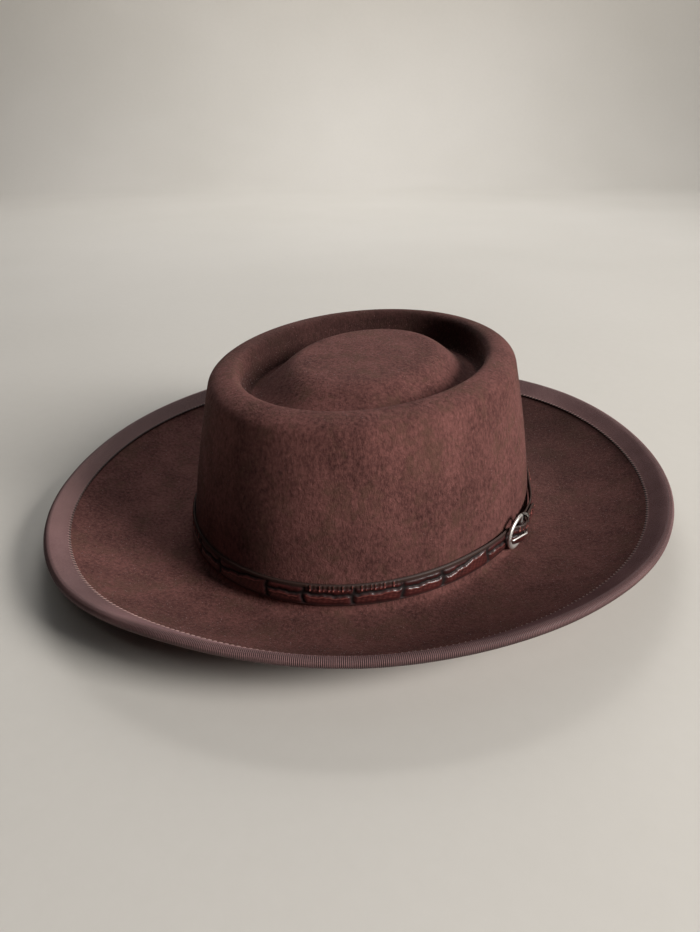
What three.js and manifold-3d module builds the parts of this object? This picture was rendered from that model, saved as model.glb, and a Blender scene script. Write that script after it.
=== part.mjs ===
// Porkpie hat in brown felt: a telescope crown, a dished brim with a folded binding, and a leather
// band closed by a small metal buckle.
// Millimetres, +Z up, front of the hat towards -Y, the buckle on the wearer's left at +X.
// The hat rests on z = 0 with its origin under the middle of its outline.
import * as THREE from 'three';
import { mergeVertices } from 'three/addons/utils/BufferGeometryUtils.js';
import Module from 'manifold-3d';

const wasm = await Module();
wasm.setup();

// Head opening and felt
const HEAD_LENGTH = 204;
const HEAD_WIDTH = 167;
const FELT = 2;

// Crown: the ridge's height at the back, how far it dips at the front, and the wall's lean and belly
const CROWN_HEIGHT = 86.6;
const FRONT_DIP = 2.5;
const CROWN_TAPER = 13;
const WALL_BELLY = 1.2;
const FOOT_RADIUS = 3;

// Ridge: the rolled shoulder outside its crest, and the tighter lip inside it
const SHOULDER_RUN = 12.5;
const SHOULDER_DROP = 6.5;
const LIP_RUN = 3;
const LIP_DROP = 4;

// Groove and dome inside the ridge
const GROOVE_RUN = 2;
const GROOVE_DEPTH = 16.5;
const DOME_SLOPE_RUN = 25;
const DOME_DROP = 0.3;
const DOME_SAG = 0.6;
const DOME_BACK = 1;

// Brim: its width and rise, the flat ring it rests on, and how sharply it curls up
const BRIM_WIDTH = 62;
const BRIM_RISE = 20;
const REST_RING = 8;
const BRIM_CURL = 1.8;

// The brim by direction, every 30 degrees from the front towards the wearer's left:
// shares of BRIM_WIDTH and of BRIM_RISE.
const BRIM_ROWS = [
  { at: 0, width: 0.895, rise: 1.16 },
  { at: 30, width: 0.905, rise: 1.22 },
  { at: 60, width: 0.985, rise: 1.22 },
  { at: 90, width: 1.05, rise: 1.0 },
  { at: 120, width: 1.075, rise: 0.96 },
  { at: 150, width: 1.04, rise: 1.03 },
  { at: 180, width: 0.95, rise: 1.05 },
  { at: 210, width: 0.98, rise: 1.07 },
  { at: 240, width: 1.07, rise: 1.0 },
  { at: 270, width: 1.17, rise: 0.82 },
  { at: 300, width: 1.14, rise: 0.67 },
  { at: 330, width: 1.03, rise: 0.77 },
];

// Binding folded over the brim's edge
const BINDING_WIDTH = 8.5;
const BINDING = 0.7;

// Leather band
const BAND_HEIGHT = 10;
const BAND = 1.2;
const TAIL_LENGTH = 24;
const TIP_LENGTH = 6;

// Buckle: where its bar lies, its length, how far it stands past the band's edges, the radius of
// its round side, and its wire, prong and keeper
const BUCKLE_AT = 83.5;
const BUCKLE_LENGTH = 14;
const BUCKLE_MARGIN = 3.5;
const BUCKLE_ROUND = 9;
const WIRE_WIDTH = 1.8;
const WIRE_DEPTH = 1.6;
const PRONG_WIRE = 1.2;
const EYE_WALL = 0.5;
const KEEPER_AT = 6.5;
const KEEPER_WIDTH = 2.4;
const KEEPER_WALL = 0.5;

// Clearance between pieces that touch on the real hat
const GAP = 0.3;

// How finely the curved forms are divided
const SECTORS = 56;
const WIRE_SIDES = 8;

const DEGREE = Math.PI / 180;
const FULL_TURN = 360;

// Sizes that follow from the ones above
const footHalfY = HEAD_LENGTH / 2 + FELT;
const footHalfX = HEAD_WIDTH / 2 + FELT;
const lipInside = CROWN_TAPER + SHOULDER_RUN + LIP_RUN;
const domeEdge = lipInside + GROOVE_RUN + DOME_SLOPE_RUN;
const wallLean = Math.atan2(CROWN_TAPER, CROWN_HEIGHT - SHOULDER_DROP - FELT - FOOT_RADIUS);
const footCentreZ = FELT + FOOT_RADIUS;

// Layers at the buckle, each clear of the next: the keeper's inner leg, the band's fixed end with
// an eye round the bar, and the band's loose end over both
const fixedOut = GAP + KEEPER_WALL + GAP;
const boreRadius = WIRE_DEPTH / 2 + GAP;
const eyeRadius = boreRadius + EYE_WALL;
const barOut = fixedOut + eyeRadius - BAND / 2;
const overBar = barOut + eyeRadius + GAP + BAND / 2;
const tailOut = fixedOut + BAND + GAP;

// The band's height: the buckle's lower side just clears the brim and the foot's round corner
const wireInside = Math.min(FOOT_RADIUS, GAP + BAND / 2 + barOut - WIRE_DEPTH / 2);
const cornerUnderWire = footCentreZ - Math.sqrt(FOOT_RADIUS ** 2 - (FOOT_RADIUS - wireInside) ** 2);
const bandBottom = cornerUnderWire + GAP + BUCKLE_MARGIN;
const bandMiddle = bandBottom + BAND_HEIGHT / 2;

// The oval at the foot of the crown, moved outwards by a distance; 0 degrees is the front
function ovalPoint(angle, outwards) {
  const sine = Math.sin(angle * DEGREE);
  const cosine = Math.cos(angle * DEGREE);
  const normal = new THREE.Vector2(footHalfY * sine, -footHalfX * cosine).normalize();
  return new THREE.Vector2(footHalfX * sine, -footHalfY * cosine).addScaledVector(normal, outwards);
}

// Outward direction of the oval, as a level vector
function ovalNormal(angle) {
  const plan = ovalPoint(angle, 1).sub(ovalPoint(angle, 0));
  return new THREE.Vector3(plan.x, plan.y, 0).normalize();
}

// How far a section point lies from the middle of the dome, as a share of the way to the ridge
function fromMiddle(out) {
  return Math.min(1, (footHalfX + out) / (footHalfX - lipInside));
}

// A section point in space: offset from the foot of the crown, height, direction.
// Inside the ridge the oval shrinks towards the middle of the dome, which lies a little back.
function place(angle, point) {
  if (point.out >= -lipInside) {
    const plan = ovalPoint(angle, point.out);
    return new THREE.Vector3(plan.x, plan.y, point.z);
  }
  const share = fromMiddle(point.out);
  const plan = ovalPoint(angle, -lipInside).multiplyScalar(share);
  return new THREE.Vector3(plan.x, plan.y + DOME_BACK * (1 - share), point.z);
}

// Brim width and rise in one direction
const brimCurve = new THREE.CatmullRomCurve3(
  BRIM_ROWS.map((row) => new THREE.Vector3(row.width, row.rise, 0)),
  true,
  'catmullrom',
);

function brimAt(angle) {
  const shares = brimCurve.getPoint((angle / FULL_TURN) % 1);
  return { width: BRIM_WIDTH * shares.x, rise: BRIM_RISE * shares.y };
}

// A quarter of an ellipse between two section points, level at its start or at its end
function quarterArc(from, to, levelFirst, steps) {
  const points = [];
  for (let step = 1; step <= steps; step += 1) {
    const turn = (step / steps) * (Math.PI / 2);
    const early = Math.sin(turn);
    const late = 1 - Math.cos(turn);
    points.push({
      out: from.out + (to.out - from.out) * (levelFirst ? early : late),
      z: from.z + (to.z - from.z) * (levelFirst ? late : early),
    });
  }
  return points;
}

// Outer surface of the crown, from the edge of the dome's flat middle to the foot
function crownSection() {
  const domeTop = CROWN_HEIGHT - DOME_DROP;
  const domeRadius = footHalfX - domeEdge;
  const groove = { out: -(lipInside + GROOVE_RUN), z: CROWN_HEIGHT - GROOVE_DEPTH };
  const lip = { out: -lipInside, z: CROWN_HEIGHT - LIP_DROP };
  const crest = { out: lip.out + LIP_RUN, z: CROWN_HEIGHT };
  const shoulder = { out: -CROWN_TAPER, z: CROWN_HEIGHT - SHOULDER_DROP };
  const foot = {
    out: FOOT_RADIUS - FOOT_RADIUS * Math.cos(wallLean),
    z: footCentreZ - FOOT_RADIUS * Math.sin(wallLean),
  };
  const points = [];
  for (const share of [0.5, 1]) {
    points.push({ out: -footHalfX + domeRadius * share, z: domeTop - DOME_SAG * share ** 2 });
  }
  const edge = points[points.length - 1];
  for (const share of [0.2, 0.4, 0.6, 0.8, 1]) {
    const ease = (1 - Math.cos(Math.PI * share)) / 2;
    points.push({ out: edge.out + (groove.out - edge.out) * share, z: edge.z + (groove.z - edge.z) * ease });
  }
  points.push(...quarterArc(groove, lip, true, 3));
  points.push(...quarterArc(lip, crest, false, 2));
  points.push(...quarterArc(crest, shoulder, true, 4));
  for (const share of [0.33, 0.67, 1]) {
    points.push({
      out: shoulder.out + (foot.out - shoulder.out) * share + WALL_BELLY * Math.sin(Math.PI * share),
      z: shoulder.z + (foot.z - shoulder.z) * share,
    });
  }
  return points;
}

const crownPoints = crownSection();

// Height of a place on the crown, whose top slopes evenly down from the back to the front
function crownHeight(angle, point) {
  const forward = (1 + Math.cos(angle * DEGREE) * fromMiddle(point.out)) / 2;
  const climb = Math.max(0, point.z - footCentreZ) / (CROWN_HEIGHT - footCentreZ);
  return point.z - FRONT_DIP * forward * climb;
}

// Height of the brim's top at a distance from the foot of the crown
function brimHeight(angle, out) {
  const brim = brimAt(angle);
  const level = FOOT_RADIUS + REST_RING;
  const share = Math.max(0, (out - level) / (brim.width - level));
  return FELT + brim.rise * share ** BRIM_CURL;
}

// Outer surface of the whole hat in one direction, from the dome to the brim's edge
function outerSection(angle) {
  const points = crownPoints.map((point) => ({ out: point.out, z: crownHeight(angle, point) }));
  for (const share of [0.35, 0.7, 1]) {
    const turn = wallLean + (Math.PI / 2 - wallLean) * share;
    points.push({
      out: FOOT_RADIUS - FOOT_RADIUS * Math.cos(turn),
      z: footCentreZ - FOOT_RADIUS * Math.sin(turn),
    });
  }
  const level = FOOT_RADIUS + REST_RING;
  const brim = brimAt(angle);
  for (const share of [0.15, 0.85, 1]) {
    points.push({ out: FOOT_RADIUS + REST_RING * share, z: FELT });
  }
  for (const share of [0.15, 0.3, 0.45, 0.6, 0.75, 0.88, 1]) {
    const out = level + (brim.width - level) * share;
    points.push({ out, z: brimHeight(angle, out) });
  }
  return points;
}

// The same line moved along its own normals; a positive distance lies above the brim
function offsetSection(points, distance) {
  return points.map((point, index) => {
    const before = points[Math.max(0, index - 1)];
    const after = points[Math.min(points.length - 1, index + 1)];
    const along = new THREE.Vector2(after.out - before.out, after.z - before.z).normalize();
    return { out: point.out - along.y * distance, z: point.z + along.x * distance };
  });
}

// Six times the signed volume of an indexed body, which is negative when its faces point inwards
function signedVolume(vertices, indices) {
  let sum = 0;
  for (let i = 0; i < indices.length; i += 3) {
    const [a, b, c] = [vertices[indices[i]], vertices[indices[i + 1]], vertices[indices[i + 2]]];
    sum += a.dot(new THREE.Vector3().crossVectors(b, c));
  }
  return sum;
}

// A closed body through a list of rings with as many points each. Its ends are joined to each
// other, or each is closed by a fan to a point.
function loft(rings, ends = null) {
  const count = rings[0].length;
  const vertices = rings.flat();
  const indices = [];
  const spans = ends ? rings.length - 1 : rings.length;
  for (let i = 0; i < spans; i += 1) {
    const near = i * count;
    const far = ((i + 1) % rings.length) * count;
    for (let j = 0; j < count; j += 1) {
      const next = (j + 1) % count;
      indices.push(near + j, far + j, far + next, near + j, far + next, near + next);
    }
  }
  if (ends) {
    const last = (rings.length - 1) * count;
    const start = vertices.push(ends[0]) - 1;
    const end = vertices.push(ends[1]) - 1;
    for (let j = 0; j < count; j += 1) {
      const next = (j + 1) % count;
      indices.push(start, j, next, end, last + next, last + j);
    }
  }
  if (signedVolume(vertices, indices) < 0) {
    indices.reverse();
  }
  const geometry = new THREE.BufferGeometry().setFromPoints(vertices);
  geometry.setIndex(indices);
  return geometry;
}

function centroid(points) {
  const sum = new THREE.Vector3();
  points.forEach((point) => sum.add(point));
  return sum.divideScalar(points.length);
}

function toManifold(geometry) {
  const bare = geometry.clone();
  bare.deleteAttribute('normal');
  bare.deleteAttribute('uv');
  const merged = mergeVertices(bare, 1e-4);
  return new wasm.Manifold(new wasm.Mesh({
    numProp: 3,
    vertProperties: new Float32Array(merged.attributes.position.array),
    triVerts: new Uint32Array(merged.index.array),
  }));
}

function fromManifold(solid) {
  const mesh = solid.getMesh();
  const geometry = new THREE.BufferGeometry();
  geometry.setAttribute('position', new THREE.BufferAttribute(mesh.vertProperties, 3));
  geometry.setIndex(new THREE.BufferAttribute(mesh.triVerts, 1));
  return geometry;
}

const sectorAngles = Array.from({ length: SECTORS }, (_, index) => (FULL_TURN * index) / SECTORS);

// Rings around the hat, one for each point of a section that is the same length in every direction
function ringsAround(sectionOf) {
  const sections = sectorAngles.map(sectionOf);
  return sections[0].map((_, row) => sections.map((section, index) => place(sectorAngles[index], section[row])));
}

// Crown and brim: one sheet of felt
function feltBody() {
  const rings = ringsAround((angle) => {
    const outer = outerSection(angle);
    return [...outer, ...offsetSection(outer, -FELT).reverse()];
  });
  const middle = { out: -footHalfX, z: CROWN_HEIGHT - DOME_DROP };
  const apex = place(0, { out: middle.out, z: crownHeight(0, middle) });
  return loft(rings, [apex, apex.clone().setZ(apex.z - FELT)]);
}

// Binding: a strip folded round the brim's edge, its two legs lying on the brim's faces
function bindingSection(angle) {
  const brim = brimAt(angle);
  const legAt = (share, lift) => {
    const out = brim.width - BINDING_WIDTH * share;
    const reach = BINDING_WIDTH / 4;
    const slope = Math.atan2(brimHeight(angle, out + reach) - brimHeight(angle, out - reach), 2 * reach);
    return { out: out - Math.sin(slope) * lift, z: brimHeight(angle, out) + Math.cos(slope) * lift };
  };
  const top = legAt(0, 0);
  const under = legAt(0, -FELT);
  const across = new THREE.Vector2(top.out - under.out, top.z - under.z).normalize();
  const beyond = (along, lift) => ({
    out: top.out + across.y * along + across.x * lift,
    z: top.z - across.x * along + across.y * lift,
  });
  const legs = [1, 0.5, 0];
  const outside = GAP + BINDING;
  const fold = FELT / 2 + outside;
  const points = legs.map((share) => legAt(share, outside));
  for (const turn of [45, 90, 135]) {
    points.push(beyond(fold * Math.sin(turn * DEGREE), fold * Math.cos(turn * DEGREE) - FELT / 2));
  }
  points.push(...legs.map((share) => legAt(share, -FELT - outside)).reverse());
  points.push(...legs.slice(0, -1).map((share) => legAt(share, -FELT - GAP)));
  points.push(beyond(GAP, -FELT - GAP), beyond(GAP, GAP));
  points.push(...legs.slice(0, -1).map((share) => legAt(share, GAP)).reverse());
  return points;
}

function brimBinding() {
  return loft(ringsAround(bindingSection));
}

// The band follows the oval with its inner face clear of the crown's foot. Places on it are told
// by the distance along it from the buckle's bar, the distance out from its seat, and the height.
const bandFootOut = FOOT_RADIUS - Math.sqrt(FOOT_RADIUS ** 2 - Math.max(0, footCentreZ - bandBottom) ** 2);
const bandSeat = bandFootOut + GAP + BAND / 2;
const BAND_SAMPLES = 720;
const bandLengths = [0];
for (let step = 1; step <= BAND_SAMPLES; step += 1) {
  const from = ovalPoint(BUCKLE_AT + (FULL_TURN * (step - 1)) / BAND_SAMPLES, bandSeat);
  const to = ovalPoint(BUCKLE_AT + (FULL_TURN * step) / BAND_SAMPLES, bandSeat);
  bandLengths.push(bandLengths[step - 1] + from.distanceTo(to));
}
const bandRound = bandLengths[BAND_SAMPLES];

function bandAngle(along) {
  const turns = Math.floor(along / bandRound);
  const rest = along - turns * bandRound;
  let step = bandLengths.findIndex((length) => length > rest);
  step = step < 1 ? 1 : step;
  const share = (rest - bandLengths[step - 1]) / (bandLengths[step] - bandLengths[step - 1]);
  return BUCKLE_AT + FULL_TURN * (turns + (step - 1 + share) / BAND_SAMPLES);
}

function bandPlace(along, out, z) {
  const plan = ovalPoint(bandAngle(along), bandSeat + out);
  return new THREE.Vector3(plan.x, plan.y, z);
}

// The buckle's size between the middles of its wire
const frameReach = BUCKLE_LENGTH - WIRE_WIDTH;
const frameHalf = BAND_HEIGHT / 2 + BUCKLE_MARGIN - WIRE_WIDTH / 2;

// How far from the bar the frame's round side crosses the band's edges
const crossing = frameReach - BUCKLE_ROUND
  + BUCKLE_ROUND * Math.sqrt(Math.max(0, 1 - (BAND_HEIGHT / 2 / frameHalf) ** 2));

// The band's distance from its seat and its lean along its length, as rows that ease into each
// other. The rows' places are shares of the named lengths around the buckle, and lean is a share
// of the crown wall's own lean: the band stands upright at the buckle and leans in elsewhere.
const climb = frameReach * 0.9;
const descent = KEEPER_AT * 0.8;
const BAND_ROWS = [
  { along: 0, out: fixedOut, lean: 0 },
  { along: TAIL_LENGTH * 0.8, out: fixedOut, lean: 0 },
  { along: TAIL_LENGTH * 2, out: 0, lean: 0.8 },
  { along: bandRound - climb * 4, out: 0, lean: 0.8 },
  { along: bandRound - climb, out: 0, lean: 0.2 },
  { along: bandRound, out: overBar, lean: 0 },
  { along: bandRound + descent * 0.2, out: overBar, lean: 0 },
  { along: bandRound + descent, out: tailOut, lean: 0 },
  { along: bandRound + TAIL_LENGTH, out: tailOut, lean: 0 },
];

function bandPose(along) {
  const next = BAND_ROWS.findIndex((row) => row.along >= along);
  const index = next < 1 ? 1 : next;
  const [from, to] = [BAND_ROWS[index - 1], BAND_ROWS[index]];
  const share = (along - from.along) / (to.along - from.along);
  const ease = (1 - Math.cos(Math.PI * share)) / 2;
  return {
    out: from.out + (to.out - from.out) * ease,
    lean: from.lean + (to.lean - from.lean) * ease,
  };
}

// One cross-section of the band, with eased edges
function bandRing(along, height) {
  const half = BAND / 2;
  const ease = BAND / 4;
  const { out, lean } = bandPose(along);
  const slant = lean * Math.tan(wallLean);
  const corners = [
    [half, height / 2 - ease], [half - ease, height / 2],
    [ease - half, height / 2], [-half, height / 2 - ease],
    [-half, ease - height / 2], [ease - half, -height / 2],
    [half - ease, -height / 2], [half, ease - height / 2],
  ];
  return corners.map(([across, up]) => {
    const leanIn = slant * (up + BAND_HEIGHT / 2);
    return bandPlace(along, out + across - leanIn, bandMiddle + up);
  });
}

// A short upright rod on the line of the buckle's bar
function rodOnBar(radius, height) {
  const rod = new THREE.CylinderGeometry(radius, radius, height, 16);
  rod.rotateX(Math.PI / 2);
  const centre = bandPlace(0, barOut, bandMiddle);
  rod.translate(centre.x, centre.y, centre.z);
  return toManifold(rod);
}

// The prong rises from the bar through the band's loose end and lies over the buckle's far side
const farOut = bandPose(bandRound - crossing + WIRE_WIDTH / 2).out + BAND / 2 + GAP + WIRE_DEPTH / 2;
const prongOver = overBar + BAND / 2 + GAP + PRONG_WIRE / 2;
const prongRest = farOut + WIRE_DEPTH / 2 + GAP + PRONG_WIRE / 2;

function prongShaft(radius) {
  const route = [
    [0, barOut + boreRadius + EYE_WALL / 2],
    [-0.05, overBar],
    [-0.16, prongOver],
    [-0.55, (prongOver + prongRest) / 2 + GAP],
    [-1.06, prongRest],
  ];
  const path = new THREE.CatmullRomCurve3(
    route.map(([share, out]) => bandPlace(frameReach * share, out, bandMiddle)),
  );
  const section = new THREE.Shape().absarc(0, 0, radius, 0, 2 * Math.PI);
  return toManifold(new THREE.ExtrudeGeometry(section, {
    steps: 14,
    bevelEnabled: false,
    curveSegments: WIRE_SIDES,
    extrudePath: path,
  }));
}

function buckleProng() {
  const eye = rodOnBar(eyeRadius, PRONG_WIRE).subtract(rodOnBar(boreRadius, PRONG_WIRE + GAP));
  return fromManifold(eye.add(prongShaft(PRONG_WIRE / 2).subtract(rodOnBar(boreRadius, BAND_HEIGHT))));
}

// Band: its fixed end holds the bar in an eye, it runs once round the crown and through the
// buckle, and its loose end lies over the start, with a rounded tip
function bandStrap() {
  const stations = [];
  const wayRound = Array.from({ length: 60 }, (_, step) => TAIL_LENGTH * 2
    + ((bandRound - climb - TAIL_LENGTH * 2) * step) / 60);
  stations.push(0, TAIL_LENGTH * 0.4, TAIL_LENGTH * 0.8, TAIL_LENGTH * 1.2, TAIL_LENGTH * 1.6);
  stations.push(...wayRound);
  for (const share of [1, 0.83, 0.67, 0.5, 0.33, 0.17, 0]) {
    stations.push(bandRound - climb * share);
  }
  for (const share of [0.2, 0.4, 0.6, 0.8, 1]) {
    stations.push(bandRound + descent * share);
  }
  stations.push(bandRound + (descent + TAIL_LENGTH - TIP_LENGTH) / 2);
  const rings = stations.map((along) => bandRing(along, BAND_HEIGHT));
  for (const share of [0, 0.4, 0.7, 0.9, 0.98]) {
    const along = bandRound + TAIL_LENGTH - TIP_LENGTH * (1 - share);
    rings.push(bandRing(along, BAND_HEIGHT * Math.sqrt(1 - share ** 2)));
  }
  const body = toManifold(loft(rings, [centroid(rings[0]), centroid(rings[rings.length - 1])]));
  return fromManifold(body
    .add(rodOnBar(eyeRadius, BAND_HEIGHT))
    .subtract(rodOnBar(boreRadius, BAND_HEIGHT * 2))
    .subtract(rodOnBar(eyeRadius + GAP, PRONG_WIRE + 2 * GAP))
    .subtract(prongShaft(PRONG_WIRE / 2 + GAP)));
}

// A closed wire along a loop of places on the band, flat-sided by its two radii
function wireLoop(route, halfDepth, halfWidth) {
  const places = route.map(([along, out, z]) => bandPlace(along, out, z));
  const rings = places.map((point, index) => {
    const before = places[(index + places.length - 1) % places.length];
    const after = places[(index + 1) % places.length];
    const along = new THREE.Vector3().subVectors(after, before).normalize();
    const outwards = ovalNormal(bandAngle(route[index][0]));
    const across = new THREE.Vector3().crossVectors(along, outwards).normalize();
    return Array.from({ length: WIRE_SIDES }, (_, side) => {
      const turn = ((side + 0.5) / WIRE_SIDES) * 2 * Math.PI;
      return point.clone()
        .addScaledVector(outwards, halfDepth * Math.cos(turn))
        .addScaledVector(across, halfWidth * Math.sin(turn));
    });
  });
  return loft(rings);
}

// Buckle frame: a D, its straight bar in the band's eye and its round side over the loose end
function buckleFrame() {
  const corner = WIRE_WIDTH;
  const outline = [[0, 0]];
  for (const turn of [0, 30, 60, 90]) {
    outline.push([
      -corner + corner * Math.cos(turn * DEGREE),
      frameHalf - corner + corner * Math.sin(turn * DEGREE),
    ]);
  }
  for (let turn = 90; turn <= 270; turn += 15) {
    outline.push([
      BUCKLE_ROUND - frameReach + BUCKLE_ROUND * Math.cos(turn * DEGREE),
      frameHalf * Math.sin(turn * DEGREE),
    ]);
  }
  for (const turn of [90, 60, 30, 0]) {
    outline.push([
      -corner + corner * Math.cos(turn * DEGREE),
      corner - frameHalf - corner * Math.sin(turn * DEGREE),
    ]);
  }
  const route = outline.map(([along, up]) => {
    const out = barOut + ((farOut - barOut) * -along) / frameReach;
    return [along, out, bandMiddle + up];
  });
  return wireLoop(route, WIRE_DEPTH / 2, WIRE_WIDTH / 2);
}

// Keeper: a flat loop that holds the loose end down on the fixed end
function keeperLoop() {
  const outline = (margin) => {
    const shape = new THREE.Shape();
    const inner = fixedOut - BAND / 2 - margin;
    const outer = tailOut + BAND / 2 + margin;
    const half = BAND_HEIGHT / 2 + margin;
    shape.moveTo(inner, -half);
    shape.lineTo(outer, -half);
    shape.lineTo(outer, half);
    shape.lineTo(inner, half);
    shape.closePath();
    return shape;
  };
  const loop = outline(GAP + KEEPER_WALL);
  loop.holes.push(outline(GAP));
  const geometry = new THREE.ExtrudeGeometry(loop, { depth: KEEPER_WIDTH, bevelEnabled: false });
  const outwards = ovalNormal(bandAngle(KEEPER_AT));
  const up = new THREE.Vector3(0, 0, 1);
  const along = new THREE.Vector3().crossVectors(outwards, up);
  geometry.translate(0, 0, -KEEPER_WIDTH / 2);
  geometry.applyMatrix4(new THREE.Matrix4().makeBasis(outwards, up, along));
  const seat = bandPlace(KEEPER_AT, 0, bandMiddle);
  geometry.translate(seat.x, seat.y, seat.z);
  return fromManifold(toManifold(geometry));
}

const felt = { color: 0x68433d, roughness: 0.95, metalness: 0 };
const grosgrain = { color: 0x674d49, roughness: 0.8, metalness: 0 };
const leather = { color: 0x3a1c1a, roughness: 0.35, metalness: 0 };
const metal = { color: 0xc8c4bf, roughness: 0.2, metalness: 1 };

const pieces = [
  ['felt_body', feltBody(), felt],
  ['brim_binding', brimBinding(), grosgrain],
  ['band_strap', bandStrap(), leather],
  ['buckle_frame', buckleFrame(), metal],
  ['buckle_prong', buckleProng(), metal],
  ['keeper_loop', keeperLoop(), metal],
];

const hat = new THREE.Group();
for (const [name, geometry, finish] of pieces) {
  const mesh = new THREE.Mesh(geometry, new THREE.MeshStandardMaterial(finish));
  mesh.name = name;
  hat.add(mesh);
}

// The origin lies under the middle of the outline
const outline = new THREE.Box3().setFromObject(hat);
const middle = outline.getCenter(new THREE.Vector3());
hat.position.set(-middle.x, -middle.y, -outline.min.z);

export default hat;
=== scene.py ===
import logging
import math
from dataclasses import dataclass, field
from enum import Enum
from typing import NamedTuple

import bpy
import numpy as np
from mathutils import Matrix, Vector


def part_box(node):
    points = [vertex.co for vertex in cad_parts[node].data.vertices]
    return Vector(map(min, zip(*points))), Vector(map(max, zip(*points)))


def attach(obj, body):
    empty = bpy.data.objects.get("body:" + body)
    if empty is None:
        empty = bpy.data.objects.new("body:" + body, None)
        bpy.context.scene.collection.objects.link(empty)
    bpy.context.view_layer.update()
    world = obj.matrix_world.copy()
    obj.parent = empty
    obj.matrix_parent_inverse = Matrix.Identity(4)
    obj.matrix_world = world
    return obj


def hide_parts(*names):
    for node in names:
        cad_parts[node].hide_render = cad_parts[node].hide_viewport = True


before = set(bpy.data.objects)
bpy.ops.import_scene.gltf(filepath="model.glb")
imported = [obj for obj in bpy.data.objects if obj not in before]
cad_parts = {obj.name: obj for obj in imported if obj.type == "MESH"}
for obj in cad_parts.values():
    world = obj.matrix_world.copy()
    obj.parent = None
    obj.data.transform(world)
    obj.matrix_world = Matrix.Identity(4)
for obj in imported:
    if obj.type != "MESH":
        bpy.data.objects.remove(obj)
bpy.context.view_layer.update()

log = logging.getLogger("hat")

MM = 0.001
DEGREE = math.pi / 180
FULL_TURN = 2 * math.pi

Given = float | tuple | bpy.types.NodeSocket


class Slot(Enum):
    """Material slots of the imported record."""

    FELT = "felt"
    BINDING = "binding"
    LEATHER = "leather"
    METAL = "metal"


class BrimRow(NamedTuple):
    """The brim in one direction, as shares of its width and of its rise."""

    at: float
    width: float
    rise: float


BRIM_ROWS = (
    BrimRow(0, 0.895, 1.16),
    BrimRow(30, 0.905, 1.22),
    BrimRow(60, 0.985, 1.22),
    BrimRow(90, 1.05, 1.0),
    BrimRow(120, 1.075, 0.96),
    BrimRow(150, 1.04, 1.03),
    BrimRow(180, 0.95, 1.05),
    BrimRow(210, 0.98, 1.07),
    BrimRow(240, 1.07, 1.0),
    BrimRow(270, 1.17, 0.82),
    BrimRow(300, 1.14, 0.67),
    BrimRow(330, 1.03, 0.77),
)


class Scale(NamedTuple):
    """A pair of embossed scales, one over the other, and the groove between them.

    The groove's height at the pair's two ends is a share of the band's half height.
    """

    length: float
    near_end: float
    far_end: float


SCALES = (
    Scale(17.0, 0.0, 0.05),
    Scale(28.5, 0.75, -0.1),
    Scale(20.0, 0.12, 0.0),
    Scale(22.0, 0.2, 0.1),
    Scale(21.5, -0.05, 0.1),
)


class SoftLight(NamedTuple):
    """A square light: where it stands and what it faces in metres, its side, its watts and its tint."""

    name: str
    place: tuple
    aim: tuple
    size: float
    power: float
    tint: tuple


HAT_MIDDLE = (0.0, 0.0, 0.03)
LIGHTS = (
    SoftLight("window_light", (1.5, -0.08, 0.82), HAT_MIDDLE, 0.6, 36.0, (1.0, 0.98, 0.95)),
    SoftLight("ceiling_fill", (-0.15, 0.1, 1.9), HAT_MIDDLE, 1.2, 1.5, (0.9, 0.95, 1.0)),
    SoftLight("back_fill", (-0.6, 1.3, 1.25), HAT_MIDDLE, 1.3, 8.0, (0.94, 0.97, 1.0)),
    SoftLight("backdrop_light", (-0.54, 1.07, 1.6), (-0.95, 1.87, 0.3), 0.8, 14.0, (1.0, 0.99, 0.97)),
    SoftLight("glint", (0.6, -0.9, 1.35), HAT_MIDDLE, 0.25, 0.8, (1.0, 0.98, 0.96)),
)


def unit(vectors: np.ndarray) -> np.ndarray:
    """Scale vectors to length one.

    Args:
        vectors: Array whose last axis holds the components.

    Returns:
        The same directions with length one.
    """
    return vectors / np.maximum(np.linalg.norm(vectors, axis=-1, keepdims=True), 1e-12)


def mesh_object(name: str, vertices: np.ndarray, faces: list, smooth: bool = True) -> bpy.types.Object:
    """Make a mesh object at the origin.

    Args:
        name: Name of the object and its mesh.
        vertices: Places in metres, one row each.
        faces: Vertex numbers of each face, facing outwards.
        smooth: Whether the faces are shaded smooth.

    Returns:
        The linked object.
    """
    mesh = bpy.data.meshes.new(name)
    mesh.from_pydata([tuple(v) for v in vertices.tolist()], [], [tuple(f) for f in faces])
    mesh.validate()
    if smooth:
        mesh.shade_smooth()
    mesh.update()
    piece = bpy.data.objects.new(name, mesh)
    bpy.context.scene.collection.objects.link(piece)
    return piece


def signed_volume(vertices: np.ndarray, quads: np.ndarray) -> float:
    """Six times the volume inside a mesh of quads, negative when its faces point inwards."""
    a, b, c, d = (vertices[quads[:, k]] for k in range(4))
    first = np.einsum("ij,ij->i", a, np.cross(b, c)).sum()
    return float(first + np.einsum("ij,ij->i", a, np.cross(c, d)).sum())


def grid_faces(rings: int, count: int, closed: bool) -> np.ndarray:
    """Quads between rings of vertices numbered ring by ring.

    Args:
        rings: How many rings there are.
        count: How many vertices each ring has.
        closed: Whether the last ring joins the first.

    Returns:
        One row of four vertex numbers for each quad.
    """
    spans = rings if closed else rings - 1
    ring, spot = np.meshgrid(np.arange(spans), np.arange(count), indexing="ij")
    near, far, turn = ring * count, ((ring + 1) % rings) * count, (spot + 1) % count
    return np.stack([near + spot, far + spot, far + turn, near + turn], -1).reshape(-1, 4)


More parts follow.
